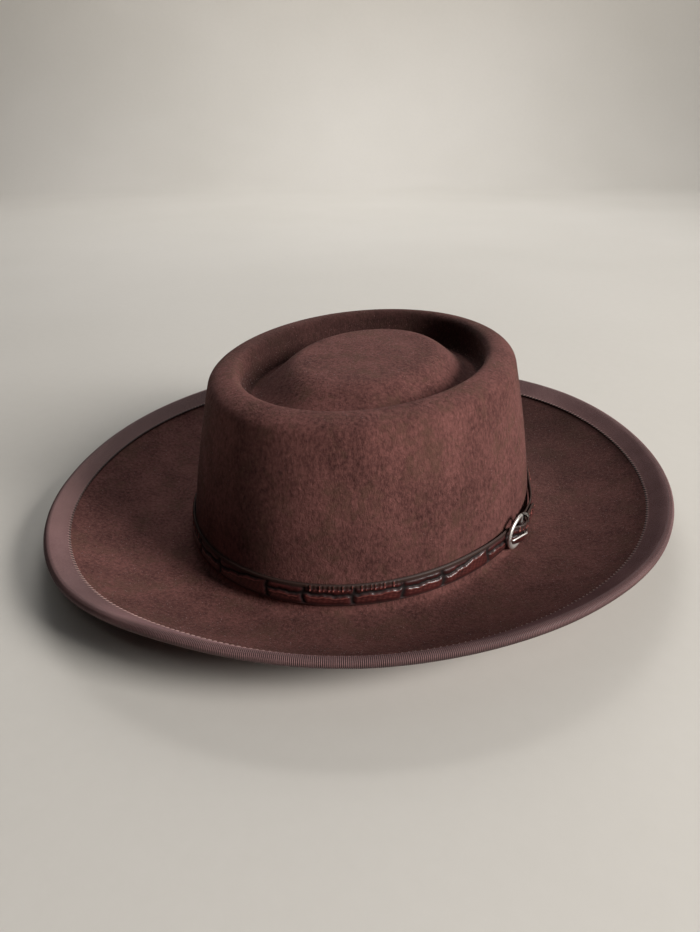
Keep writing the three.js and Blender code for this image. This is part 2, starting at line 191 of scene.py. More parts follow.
def loft(name: str, rings: np.ndarray, ends: tuple | None = None) -> bpy.types.Object:
    """Make a closed body through rings of vertices.

    Args:
        name: Name of the piece.
        rings: Array of rings by vertices by three, in metres.
        ends: Two points that close the first and last ring, or None to join those rings.

    Returns:
        The piece, its faces pointing outwards.
    """
    count = rings.shape[1]
    vertices = rings.reshape(-1, 3)
    quads = grid_faces(len(rings), count, ends is None)
    inverted = signed_volume(vertices, quads) < 0
    faces = quads[:, ::-1].tolist() if inverted else quads.tolist()
    if ends is not None:
        start, end = len(vertices), len(vertices) + 1
        last = (len(rings) - 1) * count
        vertices = np.vstack([vertices, np.array(ends, float)])
        for spot in range(count):
            turn = (spot + 1) % count
            caps = [[start, spot, turn], [end, last + turn, last + spot]]
            faces += [cap[::-1] for cap in caps] if inverted else caps
    return mesh_object(name, vertices, faces)


def joined(name: str, pieces: list) -> bpy.types.Object:
    """Join mesh objects that hold their places in their vertices.

    Args:
        name: Name of the joined piece.
        pieces: Mesh objects at the origin, which are removed.

    Returns:
        One object with all their faces.
    """
    vertices, faces, start = [], [], 0
    for piece in pieces:
        vertices += [tuple(v.co) for v in piece.data.vertices]
        faces += [[start + i for i in face.vertices] for face in piece.data.polygons]
        start = len(vertices)
        bpy.data.objects.remove(piece)
    return mesh_object(name, np.array(vertices), faces)


def store(piece: bpy.types.Object, name: str, values: np.ndarray) -> None:
    """Store one number for each vertex of a piece as a named attribute."""
    attribute = piece.data.attributes.new(name, "FLOAT", "POINT")
    attribute.data.foreach_set("value", np.asarray(values, np.float32).ravel())


def smooth_between(keys: list, share: np.ndarray) -> np.ndarray:
    """A Catmull-Rom curve between the second and the third of four key places.

    Args:
        keys: The four key places, or an array of them for each share.
        share: How far along the way between the middle two, from 0 to 1.

    Returns:
        Places on the curve.
    """
    a, b, c, d = keys
    bend, pull = 2 * a - 5 * b + 4 * c - d, 3 * b - a - 3 * c + d
    return 0.5 * (2 * b + (c - a) * share + bend * share**2 + pull * share**3)


def spline(keys: np.ndarray, samples: int) -> np.ndarray:
    """An open Catmull-Rom curve through key places.

    Args:
        keys: The places that the curve passes through.
        samples: How many places to return, the first and last key included.

    Returns:
        Places along the curve.
    """
    padded = np.vstack([2 * keys[0] - keys[1], keys, 2 * keys[-1] - keys[-2]])
    at = np.linspace(0, len(keys) - 1 - 1e-9, samples)
    index = at.astype(int)
    return smooth_between([padded[index + k] for k in range(4)], (at - index)[:, None])


@dataclass(frozen=True)
class HatForm:
    """The hat's driving sizes in millimetres, and the surfaces that follow from them.

    Directions are angles from the front of the hat, growing towards the wearer's left. A place on a
    section is its distance out from the foot of the crown and its height.
    """

    head_length: float = 204
    head_width: float = 167
    felt: float = 2
    crown_height: float = 86.6
    front_dip: float = 2.5
    crown_taper: float = 13
    wall_belly: float = 1.2
    foot_radius: float = 3
    shoulder_run: float = 12.5
    shoulder_drop: float = 6.5
    lip_run: float = 3
    lip_drop: float = 4
    groove_run: float = 2
    groove_depth: float = 16.5
    dome_slope_run: float = 25
    dome_drop: float = 0.3
    dome_sag: float = 0.6
    dome_back: float = 1
    brim_width: float = 62
    brim_rise: float = 20
    rest_ring: float = 8
    brim_curl: float = 1.8
    binding_width: float = 8.5
    binding: float = 0.7
    gap: float = 0.3
    shift: tuple = (0.0, 0.0)

    @property
    def foot_half(self) -> tuple:
        """Half the width and half the length of the oval at the foot of the crown."""
        return self.head_width / 2 + self.felt, self.head_length / 2 + self.felt

    @property
    def lip_inside(self) -> float:
        """How far the inner edge of the ridge lies inside the foot."""
        return self.crown_taper + self.shoulder_run + self.lip_run

    @property
    def foot_centre(self) -> float:
        """Height of the centre of the round corner at the foot."""
        return self.felt + self.foot_radius

    @property
    def wall_lean(self) -> float:
        """How far the crown's wall leans in from upright."""
        rise = self.crown_height - self.shoulder_drop - self.felt - self.foot_radius
        return math.atan2(self.crown_taper, rise)

    @property
    def level(self) -> float:
        """Distance from the foot at which the brim starts to rise."""
        return self.foot_radius + self.rest_ring

    def from_middle(self, out: np.ndarray) -> np.ndarray:
        """How far a place lies from the dome's middle, as a share of the way to the ridge."""
        half_x = self.foot_half[0]
        return np.clip((half_x + out) / (half_x - self.lip_inside), 0, 1)

    def oval_normal(self, angle: np.ndarray) -> np.ndarray:
        """Level outward direction of the oval."""
        half_x, half_y = self.foot_half
        return unit(np.stack([half_y * np.sin(angle), -half_x * np.cos(angle)], -1))

    def oval(self, angle: np.ndarray, out: np.ndarray) -> np.ndarray:
        """Plan of the foot's oval moved outwards by a distance."""
        half_x, half_y = self.foot_half
        base = np.stack([half_x * np.sin(angle), -half_y * np.cos(angle)], -1)
        return base + self.oval_normal(angle) * np.asarray(out)[..., None]

    def place(self, angle: np.ndarray, out: np.ndarray, z: np.ndarray) -> np.ndarray:
        """Places in the part's frame, in metres.

        Inside the ridge the oval shrinks towards the middle of the dome, a little back.

        Args:
            angle: Directions.
            out: Distances out from the foot.
            z: Heights.

        Returns:
            Places, with the components on the last axis.
        """
        angle, out, z = np.broadcast_arrays(angle, out, z)
        share = self.from_middle(out)[..., None]
        plan = self.oval(angle, np.maximum(out, -self.lip_inside)) * share
        plan[..., 1] += self.dome_back * (1 - share[..., 0])
        return np.concatenate([plan + np.array(self.shift), z[..., None]], -1) * MM

    def brim(self, angle: np.ndarray) -> tuple:
        """Width and rise of the brim in some directions, by a closed curve through the rows."""
        keys = np.array([[row.width * self.brim_width, row.rise * self.brim_rise] for row in BRIM_ROWS])
        at = (np.asarray(angle) / FULL_TURN % 1) * len(keys)
        index = np.floor(at).astype(int) % len(keys)
        near = [keys[(index + k) % len(keys)] for k in (-1, 0, 1, 2)]
        found = smooth_between(near, (at - np.floor(at))[..., None])
        return found[..., 0], found[..., 1]

    def brim_height(self, angle: np.ndarray, out: np.ndarray) -> np.ndarray:
        """Height of the brim's top at a distance from the foot."""
        width, rise = self.brim(angle)
        share = np.maximum(0, (out - self.level) / (width - self.level))
        wave = 0.22 * np.sin(3 * angle + 0.7) + 0.15 * np.sin(7 * angle + 2.1)
        return self.felt + rise * share**self.brim_curl + wave * share**2

    def brim_slope(self, angle: np.ndarray, out: np.ndarray) -> np.ndarray:
        """Angle at which the brim's top climbs outwards."""
        reach = 0.5
        climb = self.brim_height(angle, out + reach) - self.brim_height(angle, out - reach)
        return np.arctan2(climb, 2 * reach)

    def leg(self, angle: np.ndarray, share: float, lift: float) -> tuple:
        """A place on a leg of the binding.

        Args:
            angle: Directions.
            share: 0 at the brim's edge and 1 at the leg's inner edge.
            lift: Distance above the brim's top, negative beneath it.

        Returns:
            Distances out from the foot, and heights.
        """
        width, _ = self.brim(angle)
        out = width - self.binding_width * share
        slope = self.brim_slope(angle, out)
        return out - np.sin(slope) * lift, self.brim_height(angle, out) + np.cos(slope) * lift

    def fold(self, angle: np.ndarray, turn: float, radius: float) -> tuple:
        """A place on the binding's fold round the brim's edge.

        Args:
            angle: Directions.
            turn: 0 where the fold leaves the upper leg and 180 degrees at the lower one.
            radius: Distance from the middle of the felt's edge.

        Returns:
            Distances out from the foot, and heights.
        """
        width, _ = self.brim(angle)
        slope = self.brim_slope(angle, width)
        along = radius * math.sin(turn)
        lift = radius * math.cos(turn) - self.felt / 2
        out = width + np.cos(slope) * along - np.sin(slope) * lift
        return out, self.brim_height(angle, width) + np.sin(slope) * along + np.cos(slope) * lift

    def crown_line(self) -> np.ndarray:
        """Outer surface of the crown from the dome's middle to the foot, softened as felt is.

        Returns:
            Distances out and heights, one row each.
        """
        quarter = np.linspace(0, math.pi / 2, 15)[1:, None]
        early, late = np.sin(quarter), 1 - np.cos(quarter)
        half_x = self.foot_half[0]
        dome_top = self.crown_height - self.dome_drop
        dome_edge = self.lip_inside + self.groove_run + self.dome_slope_run
        groove = np.array([-(self.lip_inside + self.groove_run), self.crown_height - self.groove_depth])
        lip = np.array([-self.lip_inside, self.crown_height - self.lip_drop])
        crest = np.array([lip[0] + self.lip_run, self.crown_height])
        shoulder = np.array([-self.crown_taper, self.crown_height - self.shoulder_drop])
        corner = self.wall_lean
        foot = np.array([self.foot_radius * (1 - math.cos(corner)),
                         self.foot_centre - self.foot_radius * math.sin(corner)])
        share = np.linspace(0, 1, 26)[:, None]
        dome = np.hstack([-half_x + (half_x - dome_edge) * share, dome_top - self.dome_sag * share**2])
        share = np.linspace(0, 1, 17)[1:, None]
        ease = (1 - np.cos(math.pi * share)) / 2
        slope = dome[-1] + (groove - dome[-1]) * np.hstack([share, ease])
        rise = groove + (lip - groove) * np.hstack([early, late])
        inner = lip + (crest - lip) * np.hstack([late, early])
        outer = crest + (shoulder - crest) * np.hstack([early, late])
        share = np.linspace(0, 1, 37)[1:, None]
        wall = shoulder + (foot - shoulder) * share
        wall[:, :1] += self.wall_belly * np.sin(math.pi * share)
        line = np.vstack([dome, slope, rise, inner, outer, wall])
        return self.softened(line, 1.3)

    @staticmethod
    def softened(line: np.ndarray, reach: float) -> np.ndarray:
        """Space a section line evenly and round its corners, its ends kept.

        Args:
            line: Distances out and heights, one row each.
            reach: How far the rounding reaches, in millimetres.

        Returns:
            The softened line.
        """
        length = np.r_[0, np.cumsum(np.hypot(*np.diff(line, axis=0).T))]
        count = int(length[-1] / 1.25)
        at = np.linspace(0, length[-1], count)
        even = np.stack([np.interp(at, length, column) for column in line.T], -1)
        weight = np.exp(-0.5 * ((at[:, None] - at[None, :]) / reach) ** 2)
        edge = np.minimum(at, length[-1] - at)
        weight = weight * (np.abs(at[:, None] - at[None, :]) <= edge[:, None] + 1e-9)
        return weight @ even / weight.sum(1, keepdims=True)

    def outer_sections(self, angle: np.ndarray) -> np.ndarray:
        """Outer surface of the whole hat in some directions.

        Args:
            angle: Directions.

        Returns:
            Array of directions by places by (out, height).
        """
        crown = self.crown_line()
        forward = (1 + np.cos(angle)[:, None] * self.from_middle(crown[:, 0])) / 2
        above = np.maximum(0, crown[:, 1] - self.foot_centre) / (self.crown_height - self.foot_centre)
        z = crown[:, 1] - self.front_dip * forward * above
        climb = np.clip((crown[:, 1] - 2 * self.foot_centre) / self.crown_height, 0, 1)
        outside = np.clip((crown[:, 0] + self.lip_inside) / self.shoulder_run, 0, 1)
        uneven = 0.3 * np.sin(3 * angle + 1.1) + 0.2 * np.sin(5 * angle + 0.3)
        out = crown[:, 0] + uneven[:, None] * climb * outside
        turn = self.wall_lean + (math.pi / 2 - self.wall_lean) * np.linspace(0, 1, 8)[1:]
        foot_out = self.foot_radius * (1 - np.cos(turn))
        foot_z = self.foot_centre - self.foot_radius * np.sin(turn)
        flat = self.foot_radius + self.rest_ring * np.array([0.15, 0.4, 0.7, 1.0])
        width, _ = self.brim(angle)
        share = np.linspace(0, 1, 40)[1:]
        brim_out = self.level + (width[:, None] - self.level) * share
        brim_z = self.brim_height(angle[:, None], brim_out)
        rows = len(angle)
        out = np.hstack([out, np.tile(foot_out, (rows, 1)), np.tile(flat, (rows, 1)), brim_out])
        z = np.hstack([z, np.tile(foot_z, (rows, 1)), np.full((rows, len(flat)), self.felt), brim_z])
        return np.stack([out, z], -1)

    @staticmethod
    def offset(sections: np.ndarray, distance: float) -> np.ndarray:
        """Move section lines along their own normals.

        Args:
            sections: Array of directions by places by (out, height).
            distance: How far, positive above the brim.

        Returns:
            The moved lines.
        """
        along = np.empty_like(sections)
        along[:, 1:-1] = sections[:, 2:] - sections[:, :-2]
        along[:, 0] = sections[:, 1] - sections[:, 0]
        along[:, -1] = sections[:, -1] - sections[:, -2]
        along = unit(along)
        return sections + np.stack([-along[..., 1], along[..., 0]], -1) * distance


@dataclass(frozen=True)
class BandForm:
    """The leather band's path round the crown, in millimetres.

    A place on it is the distance along it from the buckle's bar towards the back, the distance out
    from its seat, and the height.
    """

    hat: HatForm
    height: float = 10
    thickness: float = 1.2
    tail_length: float = 24
    tip_length: float = 6
    buckle_at: float = 83.5
    buckle_length: float = 14
    buckle_margin: float = 3.5
    buckle_round: float = 9
    wire_width: float = 1.8
    wire_depth: float = 1.6
    prong_wire: float = 1.2
    eye_wall: float = 0.5
    keeper_at: float = 6.5
    keeper_width: float = 2.4
    keeper_wall: float = 0.5
    samples: int = 2880

    @property
    def fixed_out(self) -> float:
        """Distance out of the band's fixed end, clear of the keeper's inner leg."""
        return 2 * self.hat.gap + self.keeper_wall

    @property
    def bore_radius(self) -> float:
        """Radius of the hole that the bar lies in."""
        return self.wire_depth / 2 + self.hat.gap

    @property
    def eye_radius(self) -> float:
        """Outer radius of the eye round the bar."""
        return self.bore_radius + self.eye_wall

    @property
    def bar_out(self) -> float:
        """Distance out of the buckle's bar."""
        return self.fixed_out + self.eye_radius - self.thickness / 2

    @property
    def over_bar(self) -> float:
        """Distance out of the loose end where it passes over the bar."""
        return self.bar_out + self.eye_radius + self.hat.gap + self.thickness / 2

    @property
    def tail_out(self) -> float:
        """Distance out of the loose end over the fixed end."""
        return self.fixed_out + self.thickness + self.hat.gap

    @property
    def bottom(self) -> float:
        """Height of the band's lower edge."""
        hat = self.hat
        inside = min(hat.foot_radius, hat.gap + self.thickness / 2 + self.bar_out - self.wire_depth / 2)
        corner = math.sqrt(hat.foot_radius**2 - (hat.foot_radius - inside) ** 2)
        return hat.foot_centre - corner + hat.gap + self.buckle_margin

    @property
    def middle(self) -> float:
        """Height of the band's middle."""
        return self.bottom + self.height / 2

    @property
    def seat(self) -> float:
        """Distance of the band's middle out from the crown's foot."""
        hat = self.hat
        drop = max(0.0, hat.foot_centre - self.bottom)
        return hat.foot_radius - math.sqrt(hat.foot_radius**2 - drop**2) + hat.gap + self.thickness / 2

    @property
    def frame_reach(self) -> float:
        """Distance from the bar to the far side of the buckle's frame, between wire middles."""
        return self.buckle_length - self.wire_width

    @property
    def frame_half(self) -> float:
        """Half the height of the buckle's frame, between wire middles."""
        return self.height / 2 + self.buckle_margin - self.wire_width / 2

    def lengths(self) -> tuple:
        """Directions round the seat and the length along it at each.

        Returns:
            Directions from the bar once round, and lengths.
        """
        angle = self.buckle_at * DEGREE + np.linspace(0, FULL_TURN, self.samples + 1)
        plan = self.hat.oval(angle, np.full(len(angle), self.seat))
        return angle, np.r_[0, np.cumsum(np.hypot(*np.diff(plan, axis=0).T))]

    @property
    def round(self) -> float:
        """Length of the band once round the crown."""
        return float(self.lengths()[1][-1])

    def angle(self, along: np.ndarray) -> np.ndarray:
        """Directions at distances along the band."""
        angle, length = self.lengths()
        turns = np.floor(np.asarray(along) / length[-1])
        return np.interp(along - turns * length[-1], length, angle) + turns * FULL_TURN

    def place(self, along: np.ndarray, out: np.ndarray, z: np.ndarray) -> np.ndarray:
        """Places in the part's frame, in metres."""
        along, out, z = np.broadcast_arrays(along, out, z)
        return self.hat.place(self.angle(along), self.seat + out, z)

    def outwards(self, along: np.ndarray) -> np.ndarray:
        """Level outward directions at distances along the band."""
        plan = self.hat.oval_normal(self.angle(along))
        return np.concatenate([plan, np.zeros(plan.shape[:-1] + (1,))], -1)

    def pose(self, along: np.ndarray) -> tuple:
        """How far out the band's middle lies and how much it leans in.

        Args:
            along: Distances along the band, ascending or not.

        Returns:
            Distances out, and shares of the crown wall's lean.
        """
        climb, descent, whole = self.frame_reach * 0.9, self.keeper_at * 0.8, self.round
        rows = np.array([
            (0, self.fixed_out, 0),
            (self.tail_length * 0.8, self.fixed_out, 0),
            (self.tail_length * 2, 0, 0.8),
            (whole - climb * 4, 0, 0.8),
            (whole - climb, 0, 0.2),
            (whole, self.over_bar, 0),
            (whole + descent * 0.2, self.over_bar, 0),
            (whole + descent, self.tail_out, 0),
            (whole + self.tail_length, self.tail_out, 0),
        ])
        index = np.clip(np.searchsorted(rows[:, 0], along), 1, len(rows) - 1)
        before, after = rows[index - 1], rows[index]
        share = np.clip((along - before[:, 0]) / (after[:, 0] - before[:, 0]), 0, 1)
        ease = ((1 - np.cos(math.pi * share)) / 2)[:, None]
        eased = before + (after - before) * ease
        return eased[:, 1], eased[:, 2]


class Trees:
    """Short ways to build node trees."""

    @staticmethod
    def node(tree: bpy.types.NodeTree, kind: str, inputs: dict | None = None,
             **settings: object) -> bpy.types.Node:
        """Add a node.

        Args:
            tree: The tree it goes in.
            kind: Its type's identifier.
            inputs: Values or sockets by the input's name or number.
            settings: Properties of the node.

        Returns:
            The new node.
        """
        made = tree.nodes.new(kind)
        for key, value in settings.items():
            setattr(made, key, value)
        for key, value in (inputs or {}).items():
            if isinstance(value, bpy.types.NodeSocket):
                tree.links.new(value, made.inputs[key])
            else:
                made.inputs[key].default_value = value
        return made

    @staticmethod
    def math(tree: bpy.types.NodeTree, operation: str, *values: Given) -> bpy.types.NodeSocket:
        """Add a math node.

        Args:
            tree: The tree it goes in.
            operation: Such as MULTIPLY.
            values: Numbers or sockets, in the order of its inputs.

        Returns:
            Its output.
        """
        made = Trees.node(tree, "ShaderNodeMath", dict(enumerate(values)), operation=operation)
        return made.outputs[0]

    @staticmethod
    def mix(tree: bpy.types.NodeTree, factor: Given, first: Given, second: Given) -> bpy.types.NodeSocket:
        """Add a node that mixes two colours.

        Args:
            tree: The tree it goes in.
            factor: Share of the second colour, a number or a socket.
            first: Colour or socket.
            second: Colour or socket.

        Returns:
            The mixed colour.
        """
        made = tree.nodes.new("ShaderNodeMix")
        made.data_type = "RGBA"
        for index, value in ((0, factor), (6, first), (7, second)):
            if isinstance(value, bpy.types.NodeSocket):
                tree.links.new(value, made.inputs[index])
            elif index:
                made.inputs[index].default_value = (*value[:3], 1.0)
            else:
                made.inputs[index].default_value = value
        return made.outputs[2]

    @staticmethod
    def ranged(tree: bpy.types.NodeTree, value: Given, low: float, high: float, to_low: float = 0.0,
               to_high: float = 1.0) -> bpy.types.NodeSocket:
        """Map one range of numbers to another, clamped.

        Args:
            tree: The tree it goes in.
            value: The socket to map.
            low: Where the range starts.
            high: Where the range ends.
            to_low: The result at the start.
            to_high: The result at the end.

        Returns:
            The mapped number.
        """
        made = Trees.node(tree, "ShaderNodeMapRange", {0: value, 1: low, 2: high, 3: to_low, 4: to_high})
        return made.outputs[0]


def colour(red: int, green: int, blue: int) -> tuple:
    """Linear colour of a screen colour from 0 to 255."""
    def linear(value: int) -> float:
        """One channel, made linear."""
        share = value / 255
        return share / 12.92 if share <= 0.04045 else ((share + 0.055) / 1.055) ** 2.4
    return linear(red), linear(green), linear(blue)


def shader_group(name: str, inputs: dict, outputs: dict) -> bpy.types.NodeTree:
    """Start a shader node group.

    Args:
        name: Name of the group.
        inputs: Default values by input name; a tuple of three is a vector, of four a colour.
        outputs: Socket types by output name.

    Returns:
        The group, with its input and output nodes.
    """
    tree = bpy.data.node_groups.new(name, "ShaderNodeTree")
    for key, value in inputs.items():
        kind = "NodeSocketFloat"
        if isinstance(value, tuple):
            kind = "NodeSocketVector" if len(value) == 3 else "NodeSocketColor"
        socket = tree.interface.new_socket(key, in_out="INPUT", socket_type=kind)
        socket.default_value = value
    for key, kind in outputs.items():
        tree.interface.new_socket(key, in_out="OUTPUT", socket_type=kind)
    tree.nodes.new("NodeGroupInput")
    tree.nodes.new("NodeGroupOutput")
    return tree


@dataclass
class Effects:
    """Shader node groups that more than one finish uses, built once."""

    tone: bpy.types.NodeTree = field(init=False)
    grain: bpy.types.NodeTree = field(init=False)
    relief: bpy.types.NodeTree = field(init=False)

    def __post_init__(self) -> None:
        """Build the groups."""
        self.tone = self.build_tone()
        self.grain = self.build_grain()
        self.relief = self.build_relief()

    @staticmethod
    def build_tone() -> bpy.types.NodeTree:
        """Broad and fine variation between a dark and a light colour.

        Returns:
            The group, which gives a colour and its mask.
        """
        tree = shader_group(
            "tone variation",
            {"Vector": (0.0, 0.0, 0.0), "Broad Scale": 40.0, "Fine Scale": 700.0, "Fine Share": 0.5,
             "Dark": (0.0, 0.0, 0.0, 1.0), "Light": (1.0, 1.0, 1.0, 1.0)},
            {"Colour": "NodeSocketColor", "Mask": "NodeSocketFloat"},
        )
        given, result = tree.nodes["Group Input"].outputs, tree.nodes["Group Output"].inputs
        broad = Trees.node(tree, "ShaderNodeTexNoise", {
            "Vector": given["Vector"], "Scale": given["Broad Scale"], "Detail": 3.0, "Roughness": 0.55})
        fine = Trees.node(tree, "ShaderNodeTexNoise", {
            "Vector": given["Vector"], "Scale": given["Fine Scale"], "Detail": 4.0, "Roughness": 0.7})
        broad_mask = Trees.ranged(tree, broad.outputs[0], 0.34, 0.66)
        fine_mask = Trees.ranged(tree, fine.outputs[0], 0.3, 0.7)
        fine_part = Trees.math(tree, "MULTIPLY", fine_mask, given["Fine Share"])
        rest = Trees.math(tree, "SUBTRACT", 1.0, given["Fine Share"])
        mask = Trees.math(tree, "ADD", fine_part, Trees.math(tree, "MULTIPLY", broad_mask, rest))
        tree.links.new(Trees.mix(tree, mask, given["Dark"], given["Light"]), result["Colour"])
        tree.links.new(mask, result["Mask"])
        return tree

    @staticmethod
    def build_grain() -> bpy.types.NodeTree:
        """Height of a fibrous or leathery grain at two scales.

        Returns:
            The group, which gives a height from 0 to 1.
        """
        tree = shader_group(
            "surface grain",
            {"Vector": (0.0, 0.0, 0.0), "Scale": 900.0, "Distortion": 0.4, "Coarse Share": 0.4},
            {"Height": "NodeSocketFloat"},
        )
        given, result = tree.nodes["Group Input"].outputs, tree.nodes["Group Output"].inputs
        fine = Trees.node(tree, "ShaderNodeTexNoise", {
            "Vector": given["Vector"], "Scale": given["Scale"], "Detail": 5.0, "Roughness": 0.75,
            "Distortion": given["Distortion"]})
        coarse_scale = Trees.math(tree, "MULTIPLY", given["Scale"], 0.22)
        coarse = Trees.node(tree, "ShaderNodeTexNoise", {
            "Vector": given["Vector"], "Scale": coarse_scale, "Detail": 3.0, "Roughness": 0.6})
        share = Trees.math(tree, "MULTIPLY", coarse.outputs[0], given["Coarse Share"])
        rest = Trees.math(tree, "SUBTRACT", 1.0, given["Coarse Share"])
        total = Trees.math(tree, "ADD", share, Trees.math(tree, "MULTIPLY", fine.outputs[0], rest))
        tree.links.new(total, result["Height"])
        return tree

    @staticmethod
    def build_relief() -> bpy.types.NodeTree:
        """Normal of a small height.

        Returns:
            The group, which gives a normal.
        """
        tree = shader_group(
            "small relief",
            {"Height": 0.5, "Depth": 0.0001, "Strength": 1.0},
            {"Normal": "NodeSocketVector"},
        )
        given, result = tree.nodes["Group Input"].outputs, tree.nodes["Group Output"].inputs
        bump = Trees.node(tree, "ShaderNodeBump", {
            "Strength": given["Strength"], "Distance": given["Depth"], "Height": given["Height"]})
        tree.links.new(bump.outputs[0], result["Normal"])
        return tree


class MaterialSheet:
    """A new material with its Principled shader and the places that its patterns read."""

    def __init__(self, name: str, effects: Effects) -> None:
        """Start a material.

        Args:
            name: Name of the material.
            effects: The shared node groups.
        """
        self.effects = effects
        self.material = bpy.data.materials.new(name)
        self.material.use_nodes = True
        self.tree = self.material.node_tree
        self.shader = self.tree.nodes["Principled BSDF"]
        self.places = self.tree.nodes.new("ShaderNodeTexCoord").outputs["Object"]

    def fix(self, values: dict) -> None:
        """Set the shader's sockets that are the same all over."""
        for key, value in values.items():
            self.shader.inputs[key].default_value = value

    def feed(self, name: str, socket: bpy.types.NodeSocket) -> None:
        """Feed one of the shader's sockets."""
        self.tree.links.new(socket, self.shader.inputs[name])

    def attribute(self, name: str) -> bpy.types.NodeSocket:
        """Read a number stored on the piece."""
        return Trees.node(self.tree, "ShaderNodeAttribute", attribute_name=name).outputs["Fac"]

    def group(self, tree: bpy.types.NodeTree, inputs: dict) -> bpy.types.Node:
        """Place a node group.

        Args:
            tree: The group.
            inputs: Numbers, colours or sockets by input name.

        Returns:
            The group's node.
        """
        given = {key: (*value, 1.0) if isinstance(value, tuple) else value for key, value in inputs.items()}
        return Trees.node(self.tree, "ShaderNodeGroup", given, node_tree=tree)

    def toned(self, scales: tuple, share: float, tones: tuple,
              at: bpy.types.NodeSocket | None = None) -> tuple:
        """Vary between two colours at two scales.

        Args:
            scales: Scale of the broad and of the fine variation.
            share: Share of the fine variation.
            tones: The dark and the light colour.
            at: Places that the pattern reads, or None for the piece's own.

        Returns:
            The colour and its mask.
        """
        made = self.group(self.effects.tone, {
            "Vector": self.places if at is None else at, "Broad Scale": scales[0], "Fine Scale": scales[1],
            "Fine Share": share, "Dark": tones[0], "Light": tones[1]})
        return made.outputs["Colour"], made.outputs["Mask"]

    def roughen(self, mask: bpy.types.NodeSocket, low: float, high: float) -> None:
        """Let the roughness follow a mask."""
        self.feed("Roughness", Trees.ranged(self.tree, mask, 0.0, 1.0, low, high))

    def grained(self, scale: float, distortion: float, coarse: float, depth: float, strength: float,
                at: bpy.types.NodeSocket | None = None) -> None:
        """Raise a fine grain.

        Args:
            scale: Scale of the finest grain.
            distortion: How much it is swirled.
            coarse: Share of the coarse grain.
            depth: Its depth in metres.
            strength: How much of it shows.
            at: Places that the pattern reads, or None for the piece's own.
        """
        grain = self.group(self.effects.grain, {
            "Vector": self.places if at is None else at, "Scale": scale, "Distortion": distortion,
            "Coarse Share": coarse})
        bump = self.group(self.effects.relief, {
            "Height": grain.outputs["Height"], "Depth": depth, "Strength": strength})
        self.feed("Normal", bump.outputs["Normal"])


@dataclass(frozen=True)
class Finish:
    """A finish of some pieces: the name of its material and its two tones."""

    name: str
    dark: tuple
    light: tuple

    def material(self, effects: Effects) -> bpy.types.Material:
        """Build the material.

        Args:
            effects: The shared node groups.

        Returns:
            The material.
        """
        sheet = MaterialSheet(self.name, effects)
        self.lay(sheet)
        return sheet.material

    def lay(self, sheet: MaterialSheet) -> None:
        """Lay the patterns on a new material; each finish has its own."""
        raise NotImplementedError(self.name)


@dataclass(frozen=True)
class FeltFinish(Finish):
    """Brushed wool felt: reddish brown, mottled, with a soft nap."""

    name: str = "felt"
    dark: tuple = colour(54, 31, 29)
    light: tuple = colour(130, 84, 79)
    worn: tuple = colour(88, 63, 52)
    # The next colour is that of the painted shade.
    shaded: tuple = colour(34, 22, 20)
    upright: float = 0.68

    def lay(self, sheet: MaterialSheet) -> None:
        """Lay a combed and patchy nap, with painted shade mixed in where the piece's shade attribute says
        so.

        Args:
            sheet: The new material.
        """
        sheet.fix({
            "Sheen Weight": 0.12, "Sheen Roughness": 0.45, "Sheen Tint": (*colour(190, 140, 130), 1.0),
            "Specular IOR Level": 0.15})
        combed = Trees.node(sheet.tree, "ShaderNodeMapping", {
            "Vector": sheet.places, "Scale": (1.0, 1.0, self.upright)}).outputs[0]
        nap, mask = sheet.toned((55.0, 620.0), 0.7, (self.dark, self.light), combed)
        _, patches = sheet.toned((60.0, 240.0), 0.4, ((0.0, 0.0, 0.0), (1.0, 1.0, 1.0)))
        strength = Trees.ranged(sheet.tree, patches, 0.5, 0.9, 0.0, 0.6)
        brushed = Trees.mix(sheet.tree, strength, nap, self.worn)
        # Painted shade: the shaded colour, mixed in by the shade attribute.
        sheet.feed("Base Color", Trees.mix(sheet.tree, sheet.attribute("shade"), brushed, self.shaded))
        sheet.roughen(mask, 0.98, 0.86)
        sheet.grained(760.0, 0.9, 0.3, 0.0014, 0.9, combed)


@dataclass(frozen=True)
class NapFinish(Finish):
    """Loose fibres on the felt, some paler and some darker than it."""

    name: str = "felt_fibres"
    dark: tuple = colour(44, 26, 24)
    light: tuple = colour(150, 106, 98)

    def lay(self, sheet: MaterialSheet) -> None:
        """Lay a tone that differs from fibre to fibre.

        Args:
            sheet: The new material.
        """
        sheet.fix({"Sheen Weight": 0.3, "Specular IOR Level": 0.2})
        tone, mask = sheet.toned((160.0, 700.0), 0.6, (self.dark, self.light))
        sheet.feed("Base Color", tone)
        sheet.roughen(mask, 0.95, 0.8)


